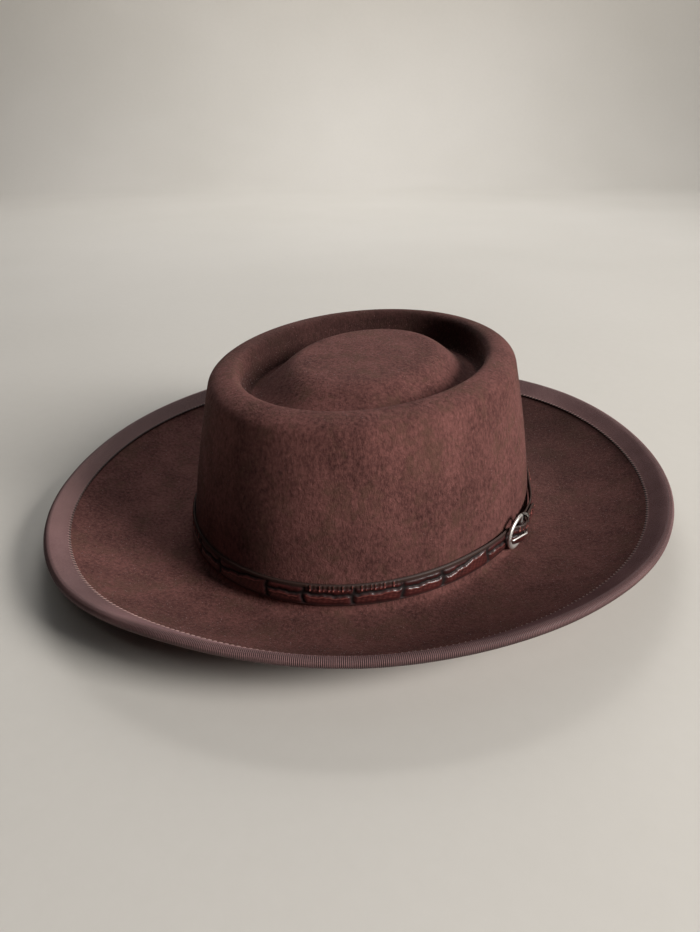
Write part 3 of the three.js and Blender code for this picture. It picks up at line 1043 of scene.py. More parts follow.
@dataclass(frozen=True)
class RibbonFinish(Finish):
    """Grosgrain ribbon: mauve brown, a little lighter and silkier than the felt."""

    name: str = "grosgrain"
    dark: tuple = colour(98, 68, 68)
    light: tuple = colour(138, 103, 102)
    # The next two colours are painted: the first is the painted shade's, the second the painted light's.
    painted_shade_tone: tuple = colour(58, 38, 37)
    painted_light_tone: tuple = colour(190, 150, 146)

    def painted_shade_share(self, sheet: MaterialSheet, aside: bpy.types.NodeSocket) -> bpy.types.NodeSocket:
        """How much painted shade the ribbon gets.

        It is darkest beneath and along its outer fold on the wearer's right, and a little darker on
        top and in a band a little to the wearer's right of the middle.

        Args:
            sheet: The new material.
            aside: How far to the wearer's left a place lies, in metres.

        Returns:
            Shares of the painted shade's colour.
        """
        tree = sheet.tree
        facing = tree.nodes.new("ShaderNodeNewGeometry").outputs["Normal"]
        upwards = Trees.node(tree, "ShaderNodeSeparateXYZ", {0: facing}).outputs["Z"]
        level = Trees.node(tree, "ShaderNodeVectorMath", {0: sheet.places, 1: (1.0, 1.0, 0.0)},
                           operation="MULTIPLY")
        radial = Trees.node(tree, "ShaderNodeVectorMath", {0: level.outputs[0]}, operation="NORMALIZE")
        outwards = Trees.node(tree, "ShaderNodeVectorMath", {0: facing, 1: radial.outputs[0]},
                              operation="DOT_PRODUCT").outputs["Value"]
        # Painted shade beneath, on top, in a band to the wearer's right and on the outer fold there.
        below = Trees.ranged(tree, upwards, -0.35, 0.3, 0.8, 0.0)
        on_top = Trees.ranged(tree, upwards, 0.45, 0.9, 0.0, 0.32)
        from_front = Trees.ranged(tree, aside, -0.01, -0.04, 0.0, 0.6)
        from_side = Trees.ranged(tree, aside, -0.11, -0.06, 0.0, 0.6)
        shade_aside = Trees.math(tree, "MINIMUM", from_front, from_side)
        turned = Trees.ranged(tree, outwards, -0.1, 0.35, 0.0, 0.9)
        folded = Trees.math(tree, "MULTIPLY", turned, Trees.ranged(tree, aside, -0.02, -0.07))
        shade_share = Trees.math(tree, "MAXIMUM", below, on_top)
        for more in (shade_aside, folded):
            shade_share = Trees.math(tree, "MAXIMUM", shade_share, more)
        return shade_share

    def lay(self, sheet: MaterialSheet) -> None:
        """Lay a silky tone, with painted light far to the wearer's right and painted shade at its edges.

        Args:
            sheet: The new material.
        """
        sheet.fix({
            "Sheen Weight": 0.2, "Sheen Roughness": 0.35, "Sheen Tint": (*colour(205, 165, 170), 1.0),
            "Specular IOR Level": 0.35})
        thread, mask = sheet.toned((35.0, 1400.0), 0.5, (self.dark, self.light))
        aside = Trees.node(sheet.tree, "ShaderNodeSeparateXYZ", {0: sheet.places}).outputs["X"]
        # Painted light: the tone is lightened far to the wearer's right, and worn holds the result.
        painted_light_share = Trees.ranged(sheet.tree, aside, -0.1, -0.145, 0.0, 0.9)
        worn = Trees.mix(sheet.tree, painted_light_share, thread, self.painted_light_tone)
        # Painted shade is mixed over the tone.
        sheet.feed("Base Color", Trees.mix(sheet.tree, self.painted_shade_share(sheet, aside), worn, self.painted_shade_tone))
        sheet.roughen(mask, 0.72, 0.55)
        sheet.grained(2200.0, 0.3, 0.2, 0.0002, 0.5)


@dataclass(frozen=True)
class ThreadFinish(Finish):
    """Sewing thread, paler than the ribbon."""

    name: str = "sewing_thread"
    dark: tuple = colour(142, 108, 102)
    light: tuple = colour(188, 154, 146)

    def lay(self, sheet: MaterialSheet) -> None:
        """Lay the tone of twisted thread.

        Args:
            sheet: The new material.
        """
        sheet.fix({"Specular IOR Level": 0.4, "Sheen Weight": 0.2})
        twist, mask = sheet.toned((90.0, 2600.0), 0.6, (self.dark, self.light))
        sheet.feed("Base Color", twist)
        sheet.roughen(mask, 0.7, 0.5)


@dataclass(frozen=True)
class LeatherFinish(Finish):
    """Embossed leather: dark red brown, glossy on its scales and near black in its grooves."""

    name: str = "embossed_leather"
    dark: tuple = colour(36, 15, 15)
    light: tuple = colour(74, 30, 28)
    groove: tuple = colour(20, 10, 9)
    # The next colour is pale: on the crests it is a painted highlight, on the tooled ticks it is wear.
    worn: tuple = colour(176, 104, 94)
    margin: tuple = colour(58, 42, 37)

    def lay(self, sheet: MaterialSheet) -> None:
        """Lay a dye that is dark in the grooves, with a pale painted highlight on the crests and pale wear
        on the ticks.

        Args:
            sheet: The new material.
        """
        tree = sheet.tree
        sheet.fix({"Coat Roughness": 0.24, "Coat IOR": 1.5, "Specular IOR Level": 0.3})
        height, margin = sheet.attribute("emboss"), sheet.attribute("margin")
        body, _ = sheet.toned((190.0, 900.0), 0.3, (self.dark, self.light))
        dyed = Trees.mix(tree, Trees.ranged(tree, height, 0.1, 0.75), self.groove, body)
        # Painted highlight on the crests and wear on the ticks, both in the worn colour.
        highlight_and_wear = Trees.mix(tree, Trees.ranged(tree, height, 0.98, 1.3, 0.0, 0.8), dyed, self.worn)
        sheet.feed("Base Color", Trees.mix(tree, margin, highlight_and_wear, self.margin))
        sheet.feed("Roughness", Trees.ranged(tree, height, 0.3, 1.0, 0.75, 0.36))
        gloss = Trees.ranged(tree, height, 0.5, 1.0, 0.05, 0.45)
        plain = Trees.ranged(tree, margin, 0.0, 1.0, 1.0, 0.15)
        sheet.feed("Coat Weight", Trees.math(tree, "MULTIPLY", gloss, plain))
        sheet.grained(1500.0, 0.8, 0.5, 0.0003, 0.35)


@dataclass(frozen=True)
class MetalFinish(Finish):
    """Polished plated metal with faint smears."""

    name: str = "polished_metal"
    dark: tuple = colour(222, 218, 212)
    light: tuple = colour(248, 245, 240)

    def lay(self, sheet: MaterialSheet) -> None:
        """Lay smears that are a little rougher than the metal.

        Args:
            sheet: The new material.
        """
        sheet.fix({"Metallic": 1.0})
        smear, mask = sheet.toned((180.0, 900.0), 0.3, (self.dark, self.light))
        sheet.feed("Base Color", smear)
        sheet.roughen(mask, 0.58, 0.42)
        sheet.grained(1800.0, 0.5, 0.6, 0.00005, 0.2)


@dataclass(frozen=True)
class FloorFinish(Finish):
    """Pale matt floor."""

    name: str = "pale_floor"
    dark: tuple = colour(203, 198, 190)
    light: tuple = colour(212, 207, 200)

    def lay(self, sheet: MaterialSheet) -> None:
        """Lay an even tone.

        Args:
            sheet: The new material.
        """
        sheet.fix({"Specular IOR Level": 0.25, "Roughness": 0.7})
        tone, _ = sheet.toned((1.5, 120.0), 0.2, (self.dark, self.light))
        sheet.feed("Base Color", tone)


class NodeSteps:
    """A Geometry Nodes tree that repeats a shape, run on a carrier mesh and taken as a plain mesh."""

    def __init__(self, name: str, inputs: dict) -> None:
        """Start a tree.

        Args:
            name: Name of the tree.
            inputs: Default values by input name; an integer is a whole number.
        """
        self.tree = bpy.data.node_groups.new(name, "GeometryNodeTree")
        face = self.tree.interface
        face.new_socket("Geometry", in_out="INPUT", socket_type="NodeSocketGeometry")
        self.sockets = {}
        for key, value in inputs.items():
            kind = "NodeSocketInt" if isinstance(value, int) else "NodeSocketFloat"
            self.sockets[key] = face.new_socket(key, in_out="INPUT", socket_type=kind)
        self.sockets["Material"] = face.new_socket(
            "Material", in_out="INPUT", socket_type="NodeSocketMaterial")
        face.new_socket("Geometry", in_out="OUTPUT", socket_type="NodeSocketGeometry")
        self.values = inputs
        self.given = self.tree.nodes.new("NodeGroupInput").outputs
        self.result = self.tree.nodes.new("NodeGroupOutput").inputs[0]

    def add(self, kind: str, inputs: dict | None = None, **settings: object) -> bpy.types.Node:
        """Add a node to the tree; its arguments are those of Trees.node."""
        return Trees.node(self.tree, kind, inputs, **settings)

    def random(self, low: float, high: float, seed: int | bpy.types.NodeSocket) -> bpy.types.NodeSocket:
        """Draw a number between two bounds for each spot."""
        inputs = {2: low, 3: high, "Seed": seed}
        return self.add("FunctionNodeRandomValue", inputs, data_type="FLOAT").outputs[1]

    def finish(self, geometry: bpy.types.NodeSocket) -> None:
        """End the tree in real geometry with the given material, shaded smooth.

        Args:
            geometry: The socket that holds the finished shapes.
        """
        real = self.add("GeometryNodeRealizeInstances", {0: geometry})
        smooth = self.add("GeometryNodeSetShadeSmooth", {"Geometry": real.outputs[0]})
        dressed = self.add("GeometryNodeSetMaterial", {
            "Geometry": smooth.outputs[0], "Material": self.given["Material"]})
        self.tree.links.new(dressed.outputs[0], self.result)

    def run(self, carrier: bpy.types.Object, name: str, material: bpy.types.Material) -> bpy.types.Object:
        """Evaluate the tree and keep the result as a plain mesh.

        Args:
            carrier: Object whose mesh the tree works on, which is removed.
            name: Name of the new piece.
            material: Material of the new piece.

        Returns:
            The piece, at the origin and without modifiers.
        """
        modifier = carrier.modifiers.new(name, "NODES")
        modifier.node_group = self.tree
        for key, value in self.values.items():
            modifier[self.sockets[key].identifier] = value
        modifier[self.sockets["Material"].identifier] = material
        depsgraph = bpy.context.evaluated_depsgraph_get()
        depsgraph.update()
        mesh = bpy.data.meshes.new_from_object(carrier.evaluated_get(depsgraph), depsgraph=depsgraph)
        mesh.name = name
        carrier.modifiers.remove(modifier)
        bpy.data.objects.remove(carrier)
        piece = bpy.data.objects.new(name, mesh)
        bpy.context.scene.collection.objects.link(piece)
        return piece


def path_carrier(name: str, paths: np.ndarray, closed: bool,
                 up: np.ndarray | None = None) -> bpy.types.Object:
    """A mesh of edges along some paths, for a tree to work on.

    Args:
        name: Name of the carrier.
        paths: Array of paths by places by three, in metres.
        closed: Whether each path joins its own start.
        up: Direction stored at each place as the attribute up, or None.

    Returns:
        The carrier.
    """
    count = paths.shape[1]
    number = np.arange(paths.shape[0] * count).reshape(paths.shape[:2])
    after = np.roll(number, -1, axis=1)
    pairs = np.stack([number, after], -1)
    pairs = pairs if closed else pairs[:, :-1]
    mesh = bpy.data.meshes.new(name)
    mesh.from_pydata(paths.reshape(-1, 3).tolist(), pairs.reshape(-1, 2).tolist(), [])
    if up is not None:
        attribute = mesh.attributes.new("up", "FLOAT_VECTOR", "POINT")
        attribute.data.foreach_set("vector", np.asarray(up, np.float32).ravel())
    carrier = bpy.data.objects.new(name, mesh)
    bpy.context.scene.collection.objects.link(carrier)
    return carrier


def rib_steps(radius: float) -> NodeSteps:
    """Tree that lays a round rib along each path.

    Args:
        radius: Radius of a rib in metres.

    Returns:
        The tree.
    """
    steps = NodeSteps("ribs along paths", {"Rib Radius": radius, "Sides": 5})
    curves = steps.add("GeometryNodeMeshToCurve", {0: steps.given["Geometry"]})
    section = steps.add("GeometryNodeCurvePrimitiveCircle", {
        "Resolution": steps.given["Sides"], "Radius": steps.given["Rib Radius"]})
    tube = steps.add("GeometryNodeCurveToMesh", {
        "Curve": curves.outputs[0], "Profile Curve": section.outputs[0], "Fill Caps": True})
    steps.finish(tube.outputs[0])
    return steps


def stitch_steps(pitch: float, length: float, thread: float, slant: float) -> NodeSteps:
    """Tree that sets slanted stitches along a path.

    Args:
        pitch: Distance between stitches in metres.
        length: Length of a stitch in metres.
        thread: Thickness of the thread in metres.
        slant: Angle between a stitch and the path, in radians.

    Returns:
        The tree.
    """
    steps = NodeSteps("stitches along a path", {
        "Pitch": pitch, "Stitch Length": length, "Thread": thread, "Slant": slant, "Seed": 7})
    curve = steps.add("GeometryNodeMeshToCurve", {0: steps.given["Geometry"]})
    spots = steps.add("GeometryNodeResampleCurve", {
        "Curve": curve.outputs[0], "Length": steps.given["Pitch"]}, mode="LENGTH")
    tangent = steps.add("GeometryNodeInputTangent")
    up = steps.add("GeometryNodeInputNamedAttribute", {"Name": "up"}, data_type="FLOAT_VECTOR")
    axes = steps.add("FunctionNodeAxesToRotation", {0: up.outputs[0], 1: tangent.outputs[0]},
                     primary_axis="Z", secondary_axis="X")
    stray = steps.random(-0.16, 0.16, steps.given["Seed"])
    turn = steps.add("ShaderNodeMath", {0: steps.given["Slant"], 1: stray}, operation="ADD")
    spin = steps.add("ShaderNodeCombineXYZ", {"Z": turn.outputs[0]})
    slanted = steps.add("FunctionNodeRotateRotation", {0: axes.outputs[0], 1: spin.outputs[0]},
                        rotation_space="LOCAL")
    bead = steps.add("GeometryNodeMeshUVSphere", {"Segments": 6, "Rings": 5, "Radius": 0.5})
    size = steps.add("ShaderNodeCombineXYZ", {
        "X": steps.given["Stitch Length"], "Y": steps.given["Thread"], "Z": steps.given["Thread"]})
    laid = steps.add("GeometryNodeInstanceOnPoints", {
        "Points": spots.outputs[0], "Instance": bead.outputs[0], "Rotation": slanted.outputs[0],
        "Scale": size.outputs[0]})
    steps.finish(laid.outputs[0])
    return steps


def nap_steps(density: float, length: float, width: float) -> NodeSteps:
    """Tree that strews short fibres over faces.

    Args:
        density: Fibres for each square metre.
        length: Length of a fibre in metres.
        width: Thickness of a fibre at its root in metres.

    Returns:
        The tree.
    """
    steps = NodeSteps("fibres on faces", {
        "Density": density, "Fibre Length": length, "Fibre Width": width, "Seed": 3})
    spots = steps.add("GeometryNodeDistributePointsOnFaces", {
        "Mesh": steps.given["Geometry"], "Density": steps.given["Density"], "Seed": steps.given["Seed"]})
    lean = steps.add("ShaderNodeCombineXYZ", {
        "X": steps.random(55 * DEGREE, 84 * DEGREE, 11), "Z": steps.random(0.0, FULL_TURN, 12)})
    laid = steps.add("FunctionNodeRotateRotation", {0: spots.outputs["Rotation"], 1: lean.outputs[0]},
                     rotation_space="LOCAL")
    fibre = steps.add("GeometryNodeMeshCone", {
        "Vertices": 3, "Radius Top": 0.0, "Radius Bottom": steps.given["Fibre Width"],
        "Depth": steps.given["Fibre Length"]})
    strewn = steps.add("GeometryNodeInstanceOnPoints", {
        "Points": spots.outputs["Points"], "Instance": fibre.outputs[0], "Rotation": laid.outputs[0],
        "Scale": steps.random(0.5, 1.3, 13)})
    steps.finish(strewn.outputs[0])
    return steps


@dataclass
class FeltBody:
    """Crown and brim: one sheet of felt.

    Sides are directions in degrees, shades are shares of the painted shade's colour, the fades
    and the fibres' sizes are in millimetres, and the nap's density is for each square metre.
    """

    hat: HatForm
    sectors: int = 256
    far_side: float = 207.0
    ridge_fade: float = 13.0
    groove_fade: float = 5.0
    brim_fade: float = 8.0
    groove_shade: float = 0.62
    ridge_shade: float = 0.72
    back_side: float = 158.0
    back_shade: float = 0.42
    nap_density: float = 300000.0
    nap_length: float = 1.5
    nap_width: float = 0.12

    def build(self) -> bpy.types.Object:
        """Build the mesh.

        Returns:
            The felt body.
        """
        angle = np.arange(self.sectors) * FULL_TURN / self.sectors
        outer = self.hat.outer_sections(angle)
        inner = self.hat.offset(outer, -self.hat.felt)
        sections = np.concatenate([outer[:, 1:], inner[:, :0:-1]], 1)
        places = self.hat.place(angle[:, None], sections[..., 0], sections[..., 1])
        top = outer[0, 0, 1]
        middle = self.hat.place(np.zeros(2), np.full(2, -self.hat.foot_half[0]),
                                np.array([top, top - self.hat.felt]))
        piece = loft("felt_hat", places.transpose(1, 0, 2), tuple(middle))
        # The shade attribute holds painted shade for the felt's material.
        store(piece, "shade", np.r_[self.shade(sections, outer.shape[1] - 1).T.ravel(), 0.0, 0.0])
        return piece

    def shade(self, sections: np.ndarray, face: int) -> np.ndarray:
        """How much painted shade the felt gets: most in the crown's groove and on the ridge's far side,
        some on the brim.

        Args:
            sections: The felt's sections, from the outer face's middle on.
            face: How many places of each section are on the outer face.

        Returns:
            Shares of the shaded tone.
        """
        hat = self.hat
        out, z = sections[..., 0], sections[..., 1]
        angle = (np.arange(len(out)) * FULL_TURN / len(out))[:, None]
        step = np.arange(out.shape[1])
        lip = np.abs(out + hat.lip_inside)[:, :face].argmin(1)[:, None]
        bottom = np.where(out < -hat.lip_inside, z, np.inf)[:, :face].argmin(1)[:, None]
        top = np.take_along_axis(z, lip, 1)
        # Painted shade: deep in the groove all round, and over the groove and the ridge on the far side.
        far = (1 + np.cos(angle - self.far_side * DEGREE)) / 2
        away = np.clip((far - 0.3) / 0.4, 0, 1) * self.ridge_shade
        deep = np.clip((top + 1.0 - z) / self.groove_fade, 0, 1) * (self.groove_shade + 0.1 * far)
        groove = np.maximum(deep, away * (step < lip))
        ridge = np.clip(1 - (out + hat.lip_inside) / self.ridge_fade, 0, 1) * away
        # Painted shade on the brim: a little all round, more towards the wearer's left, most at its back on
        # that side.
        back = np.clip(np.cos(angle - self.back_side * DEGREE), 0, 1) ** 4
        left = 0.04 + 0.22 * np.clip(0.5 + np.sin(angle) * 0.6, 0, 1)
        brim = np.clip(out / self.brim_fade, 0, 1) * (left + self.back_shade * back)
        beyond = np.where(out < 0, ridge, brim)
        shade = np.where(step < bottom, 0.0, np.where(step < lip, groove, beyond))
        return np.where(step < face, shade, 0.0)

    def build_nap(self, material: bpy.types.Material) -> bpy.types.Object:
        """Strew short fibres over the felt's outer face.

        Args:
            material: The fibres' material.

        Returns:
            The fibres, as one mesh.
        """
        angle = np.arange(self.sectors // 2) * FULL_TURN / (self.sectors // 2)
        outer = self.hat.outer_sections(angle)[:, 1::2]
        width, _ = self.hat.brim(angle)
        reach = width[:, None] - self.hat.binding_width
        bare = outer[..., 0] < reach
        last = int(bare.all(0).sum())
        places = self.hat.place(angle[:, None], outer[:, :last, 0], outer[:, :last, 1])
        rings = places.transpose(1, 0, 2)
        quads = grid_faces(len(rings), rings.shape[1], False)
        carrier = mesh_object("nap_carrier", rings.reshape(-1, 3), quads[:, ::-1].tolist())
        return nap_steps(self.nap_density, self.nap_length * MM, self.nap_width * MM).run(
            carrier, "felt_nap", material)

    def dress(self, piece: bpy.types.Object, nap: bpy.types.Object, material: bpy.types.Material) -> None:
        """Give the felt its finish and its place in the frame.

        Args:
            piece: The felt body.
            nap: Its fibres, which have their material.
            material: Its material.
        """
        piece.data.materials.append(material)
        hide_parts("felt_body")
        for part in (piece, nap):
            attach(part, "root")
            log.info("%s: %d faces", part.name, len(part.data.polygons))


@dataclass
class BrimRibbon:
    """Grosgrain ribbon folded over the brim's edge, with its ribs and stitches.

    Sizes are in millimetres. The ribs sink by a share of their radius, and the stitches lie at a share
    of the leg's width, slanted by degrees.
    """

    hat: HatForm
    sectors: int = 384
    rib_pitch: float = 0.7
    rib_radius: float = 0.26
    rib_sink: float = 0.2
    stitch_pitch: float = 2.4
    stitch_length: float = 2.0
    stitch_share: float = 0.98
    stitch_slant: float = 62.0
    thread: float = 0.42

    def leg_lift(self, share: float) -> float:
        """Height of the ribbon's outer face above the felt, a little less at the inner edge."""
        full = self.hat.gap + self.hat.binding
        return full * (1 - 0.25 * share)

    def outline(self, angle: np.ndarray, sink: float, reach: float, steps: int) -> np.ndarray:
        """The ribbon's outer face from its upper inner edge round the fold to its lower inner edge.

        Args:
            angle: Directions.
            sink: How far below the outer face.
            reach: Share of the legs that is covered.
            steps: Places on each leg.

        Returns:
            Array of directions by places by (out, height).
        """
        hat = self.hat
        radius = hat.felt / 2 + hat.gap + hat.binding - sink
        upper = [hat.leg(angle, s, self.leg_lift(s) - sink) for s in np.linspace(reach, 0, steps)]
        turns = np.linspace(0, math.pi, steps + 3)[1:-1]
        around = [hat.fold(angle, turn, radius) for turn in turns]
        lower = [hat.leg(angle, s, sink - hat.felt - self.leg_lift(s))
                 for s in np.linspace(0, reach, steps)]
        return np.stack([np.stack(pair, -1) for pair in upper + around + lower], 1)

    def build_strip(self) -> bpy.types.Object:
        """Build the ribbon's body, with a small bead along each inner edge.

        Returns:
            The ribbon.
        """
        angle = np.arange(self.sectors) * FULL_TURN / self.sectors
        outside = self.outline(angle, 0.0, 1.0, 9)
        inside = self.outline(angle, self.hat.binding * 0.85, 1.0, 5)[:, ::-1]
        def bead(lower: bool) -> np.ndarray:
            """Places round one inner edge, from the outer to the inner face or back."""
            found = []
            for share, height in ((1.02, 1.12), (1.05, 0.8), (1.045, 0.35)):
                lift = self.leg_lift(1.0) * height
                lift = -self.hat.felt - lift if lower else lift
                found.append(np.stack(self.hat.leg(angle, share, lift), -1))
            return np.stack(found, 1)
        upper, lower = bead(False), bead(True)
        sections = np.concatenate([outside, lower, inside, upper[:, ::-1]], 1)
        places = self.hat.place(angle[:, None], sections[..., 0], sections[..., 1])
        return loft("brim_ribbon", places)

    def build_ribs(self, material: bpy.types.Material) -> bpy.types.Object:
        """Lay a rib across the ribbon at every pitch.

        Args:
            material: The ribs' material.

        Returns:
            The ribs, as one mesh.
        """
        fine = np.linspace(0, FULL_TURN, 4097)
        edge = self.hat.place(fine, *self.hat.fold(fine, math.pi / 2, 0.0))
        length = np.r_[0, np.cumsum(np.linalg.norm(np.diff(edge, axis=0), axis=1))]
        count = int(length[-1] / (self.rib_pitch * MM))
        angle = np.interp(np.arange(count) * length[-1] / count, length, fine)
        line = self.outline(angle, self.rib_radius * self.rib_sink, 0.965, 3)
        places = self.hat.place(angle[:, None], line[..., 0], line[..., 1])
        carrier = path_carrier("rib_paths", places, closed=False)
        return rib_steps(self.rib_radius * MM).run(carrier, "ribbon_ribs", material)

    def build_stitches(self, material: bpy.types.Material) -> bpy.types.Object:
        """Sew the ribbon's inner edges.

        Args:
            material: The thread's material.

        Returns:
            The stitches of both legs, as one mesh.
        """
        angle = np.arange(1024) * FULL_TURN / 1024
        share = self.stitch_share
        paths, ups = [], []
        for side in (1, -1):
            lift = self.leg_lift(share) + self.rib_radius * (1 - self.rib_sink)
            lift = lift if side > 0 else -self.hat.felt - lift
            out, z = self.hat.leg(angle, share, lift)
            slope = self.hat.brim_slope(angle, out)
            paths.append(self.hat.place(angle, out, z))
            level = self.hat.oval_normal(angle) * -np.sin(slope)[:, None]
            ups.append(side * np.concatenate([level, np.cos(slope)[:, None]], -1))
        carrier = path_carrier("stitch_paths", np.stack(paths), closed=True, up=np.stack(ups))
        steps = stitch_steps(self.stitch_pitch * MM, self.stitch_length * MM, self.thread * MM,
                             self.stitch_slant * DEGREE)
        return steps.run(carrier, "brim_stitches", material)

    def dress(self, strip: bpy.types.Object, extras: list, material: bpy.types.Material) -> None:
        """Give the ribbon its finish and its place in the frame.

        Args:
            strip: The ribbon's body.
            extras: Its ribs and stitches, which have their materials.
            material: The ribbon body's material, darker than the ribs' as painted shade between them.
        """
        strip.data.materials.append(material)
        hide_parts("brim_binding")
        for piece in (strip, *extras):
            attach(piece, "root")
            log.info("%s: %d faces", piece.name, len(piece.data.polygons))


@dataclass
class LeatherBand:
    """Embossed leather band round the crown's foot, its sizes in millimetres."""

    band: BandForm
    step: float = 0.45
    emboss: float = 0.8
    first_groove: float = 10.7
    valley: float = 0.12
    groove_reach: float = 2.1
    edge_bead: float = 0.8
    top_margin: float = 1.7
    crest_below: float = 0.95
    crest_width: float = 0.5
    crest_rise: float = 0.5
    tick_pitch: float = 2.0

    def emboss_height(self, along: np.ndarray, across: np.ndarray) -> np.ndarray:
        """Height of the embossed scales.

        Pairs of long pillows follow each other back from the buckle. A bead runs along both edges,
        and short ticks cross the upper edge over two of the pairs.

        Args:
            along: Distances along the band in millimetres.
            across: Heights from the band's middle in millimetres.

        Returns:
            Heights: 0 in the grooves, 1 on the scales, more on the ticks.
        """
        half = self.band.height / 2
        ends = np.cumsum([0.0] + [scale.length for scale in SCALES])
        bow = 0.5 * np.sin(across * 0.8 + along * 0.05)
        back = (self.band.round - along - self.first_groove + bow) % ends[-1]
        pair = np.clip(np.searchsorted(ends, back, side="right") - 1, 0, len(SCALES) - 1)
        length, near, far = np.array(SCALES)[pair].T
        share = (back - ends[pair]) / length
        to_end = np.minimum(share, 1 - share) * length
        wander = 0.25 * np.sin(back * 0.7 + 1.3) + 0.12 * np.sin(back * 1.9)
        groove = (near + (far - near) * share) * half + wander
        top, bottom = half - self.top_margin, self.edge_bead - half
        def pillow(distance: np.ndarray, reach: float) -> np.ndarray:
            """Round rise from 0 at a groove to 1 at a distance from it."""
            return np.sin(np.clip(distance / reach, 0, 1) * math.pi / 2)
        ends_rise = pillow(to_end - self.valley, self.groove_reach)
        scale = ends_rise * pillow(np.abs(across - groove) - self.valley, self.groove_reach)
        within = np.minimum(top - across, across - bottom)
        scale = scale * (0.35 + 0.65 * pillow(np.maximum(within, 0), 1.4))
        # A real crest below each groove; its extra height also calls for the painted highlight in the
        # leather's colour.
        crest = np.exp(-(((groove - across - self.crest_below) / self.crest_width) ** 2))
        scale = scale + self.crest_rise * crest * ends_rise * (within > 0.2)
        bead = 0.5 + 0.15 * pillow(np.maximum(-within, 0), self.edge_bead)
        rise = np.where(within > 0, scale, bead)
        ticked = (pair >= 3) & (across > half * 0.42)
        tick = np.maximum(np.cos(along * FULL_TURN / self.tick_pitch), 0) ** 6
        tooled = 0.03 * np.sin(along * 2.1 + across * 1.7) * np.sin(across * 2.9 - along * 0.6)
        return rise + tooled + np.where(ticked, 0.8 * tick, 0.0)

    def build(self) -> bpy.types.Object:
        """Build the band: once round the crown, through the buckle, and over its start.

        Returns:
            The band, with its embossing stored on it.
        """
        band = self.band
        end = band.round + band.tail_length
        straight = np.arange(0, end - band.tip_length, self.step)
        tip = end - band.tip_length * (1 - np.sin(np.linspace(0, math.pi / 2, 16)))
        along = np.r_[straight, tip[:-1]]
        past = np.clip((along - (end - band.tip_length)) / band.tip_length, 0, 1)
        height = band.height * np.sqrt(1 - past**2)
        half, ease, least = band.thickness / 2, band.thickness * 0.42, 0.02
        front = np.linspace(-1, 1, 33)
        corner = np.linspace(0, math.pi / 2, 5)
        out, lean = band.pose(along)
        rings, heights, margins = [], [], []
        slant = lean * math.tan(band.hat.wall_lean)
        for spot, (place, size) in enumerate(zip(along, height)):
            flat = max(size / 2 - ease, least)
            up_front = front * flat
            rise = self.emboss_height(np.full(len(front), place), up_front)
            up = np.r_[up_front, flat + ease * np.sin(corner[1:]), flat + ease * np.cos(corner),
                       -flat - ease * np.sin(corner), -flat - ease * np.cos(corner[:-1])]
            depth = np.r_[half - self.emboss + self.emboss * rise,
                          half - self.emboss * 0.6 - ease * (1 - np.cos(corner[1:])),
                          -half + ease * (1 - np.sin(corner)),
                          -half + ease * (1 - np.cos(corner)),
                          half - self.emboss * 0.6 - ease * (1 - np.sin(corner[:-1]))]
            lean_in = slant[spot] * (up + band.height / 2)
            depth = out[spot] + depth - lean_in
            rings.append(np.stack([np.full(len(up), place), depth, band.middle + up], -1))
            heights.append(np.r_[rise, np.full(len(up) - len(front), 0.45)])
            edge = (up_front > size / 2 - self.top_margin) * np.clip(1.6 - rise, 0, 1)
            margins.append(np.r_[edge, np.full(len(up) - len(front), 0.8)])
        rings = np.array(rings)
        places = band.place(rings[..., 0], rings[..., 1], rings[..., 2])
        ends = (places[0].mean(0), places[-1].mean(0))
        piece = loft("leather_band", places, ends)
        store(piece, "emboss", np.r_[np.array(heights).ravel(), 0.4, 0.4])
        store(piece, "margin", np.r_[np.array(margins).ravel(), 0.5, 0.5])
        return piece

    def build_eye(self) -> bpy.types.Object:
        """Build the two halves of the fixed end's eye round the bar, either side of the prong.

        Returns:
            The eye.
        """
        band = self.band
        turn = np.arange(28) * FULL_TURN / 28
        half = band.height / 2
        clear = band.prong_wire / 2 + band.hat.gap
        pieces = []
        for low, high in ((-half, -clear), (clear, half)):
            section = [(band.eye_radius, low), (band.eye_radius, high),
                       (band.bore_radius, high), (band.bore_radius, low)]
            rings = []
            for angle in turn:
                ring = [band.place(r * math.sin(angle), band.bar_out + r * math.cos(angle), band.middle + z)
                        for r, z in section]
                rings.append(ring)
            pieces.append(loft("eye_half", np.array(rings)))
        return joined("leather_eye", pieces)

    def dress(self, piece: bpy.types.Object, eye: bpy.types.Object, material: bpy.types.Material) -> None:
        """Give the band its finish and its place in the frame.

        Args:
            piece: The band.
            eye: The eye round the bar.
            material: Their material.
        """
        store(eye, "emboss", np.full(len(eye.data.vertices), 0.5))
        store(eye, "margin", np.full(len(eye.data.vertices), 0.5))
        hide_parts("band_strap")
        for part in (piece, eye):
            part.data.materials.append(material)
            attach(part, "root")
            log.info("%s: %d faces", part.name, len(part.data.polygons))


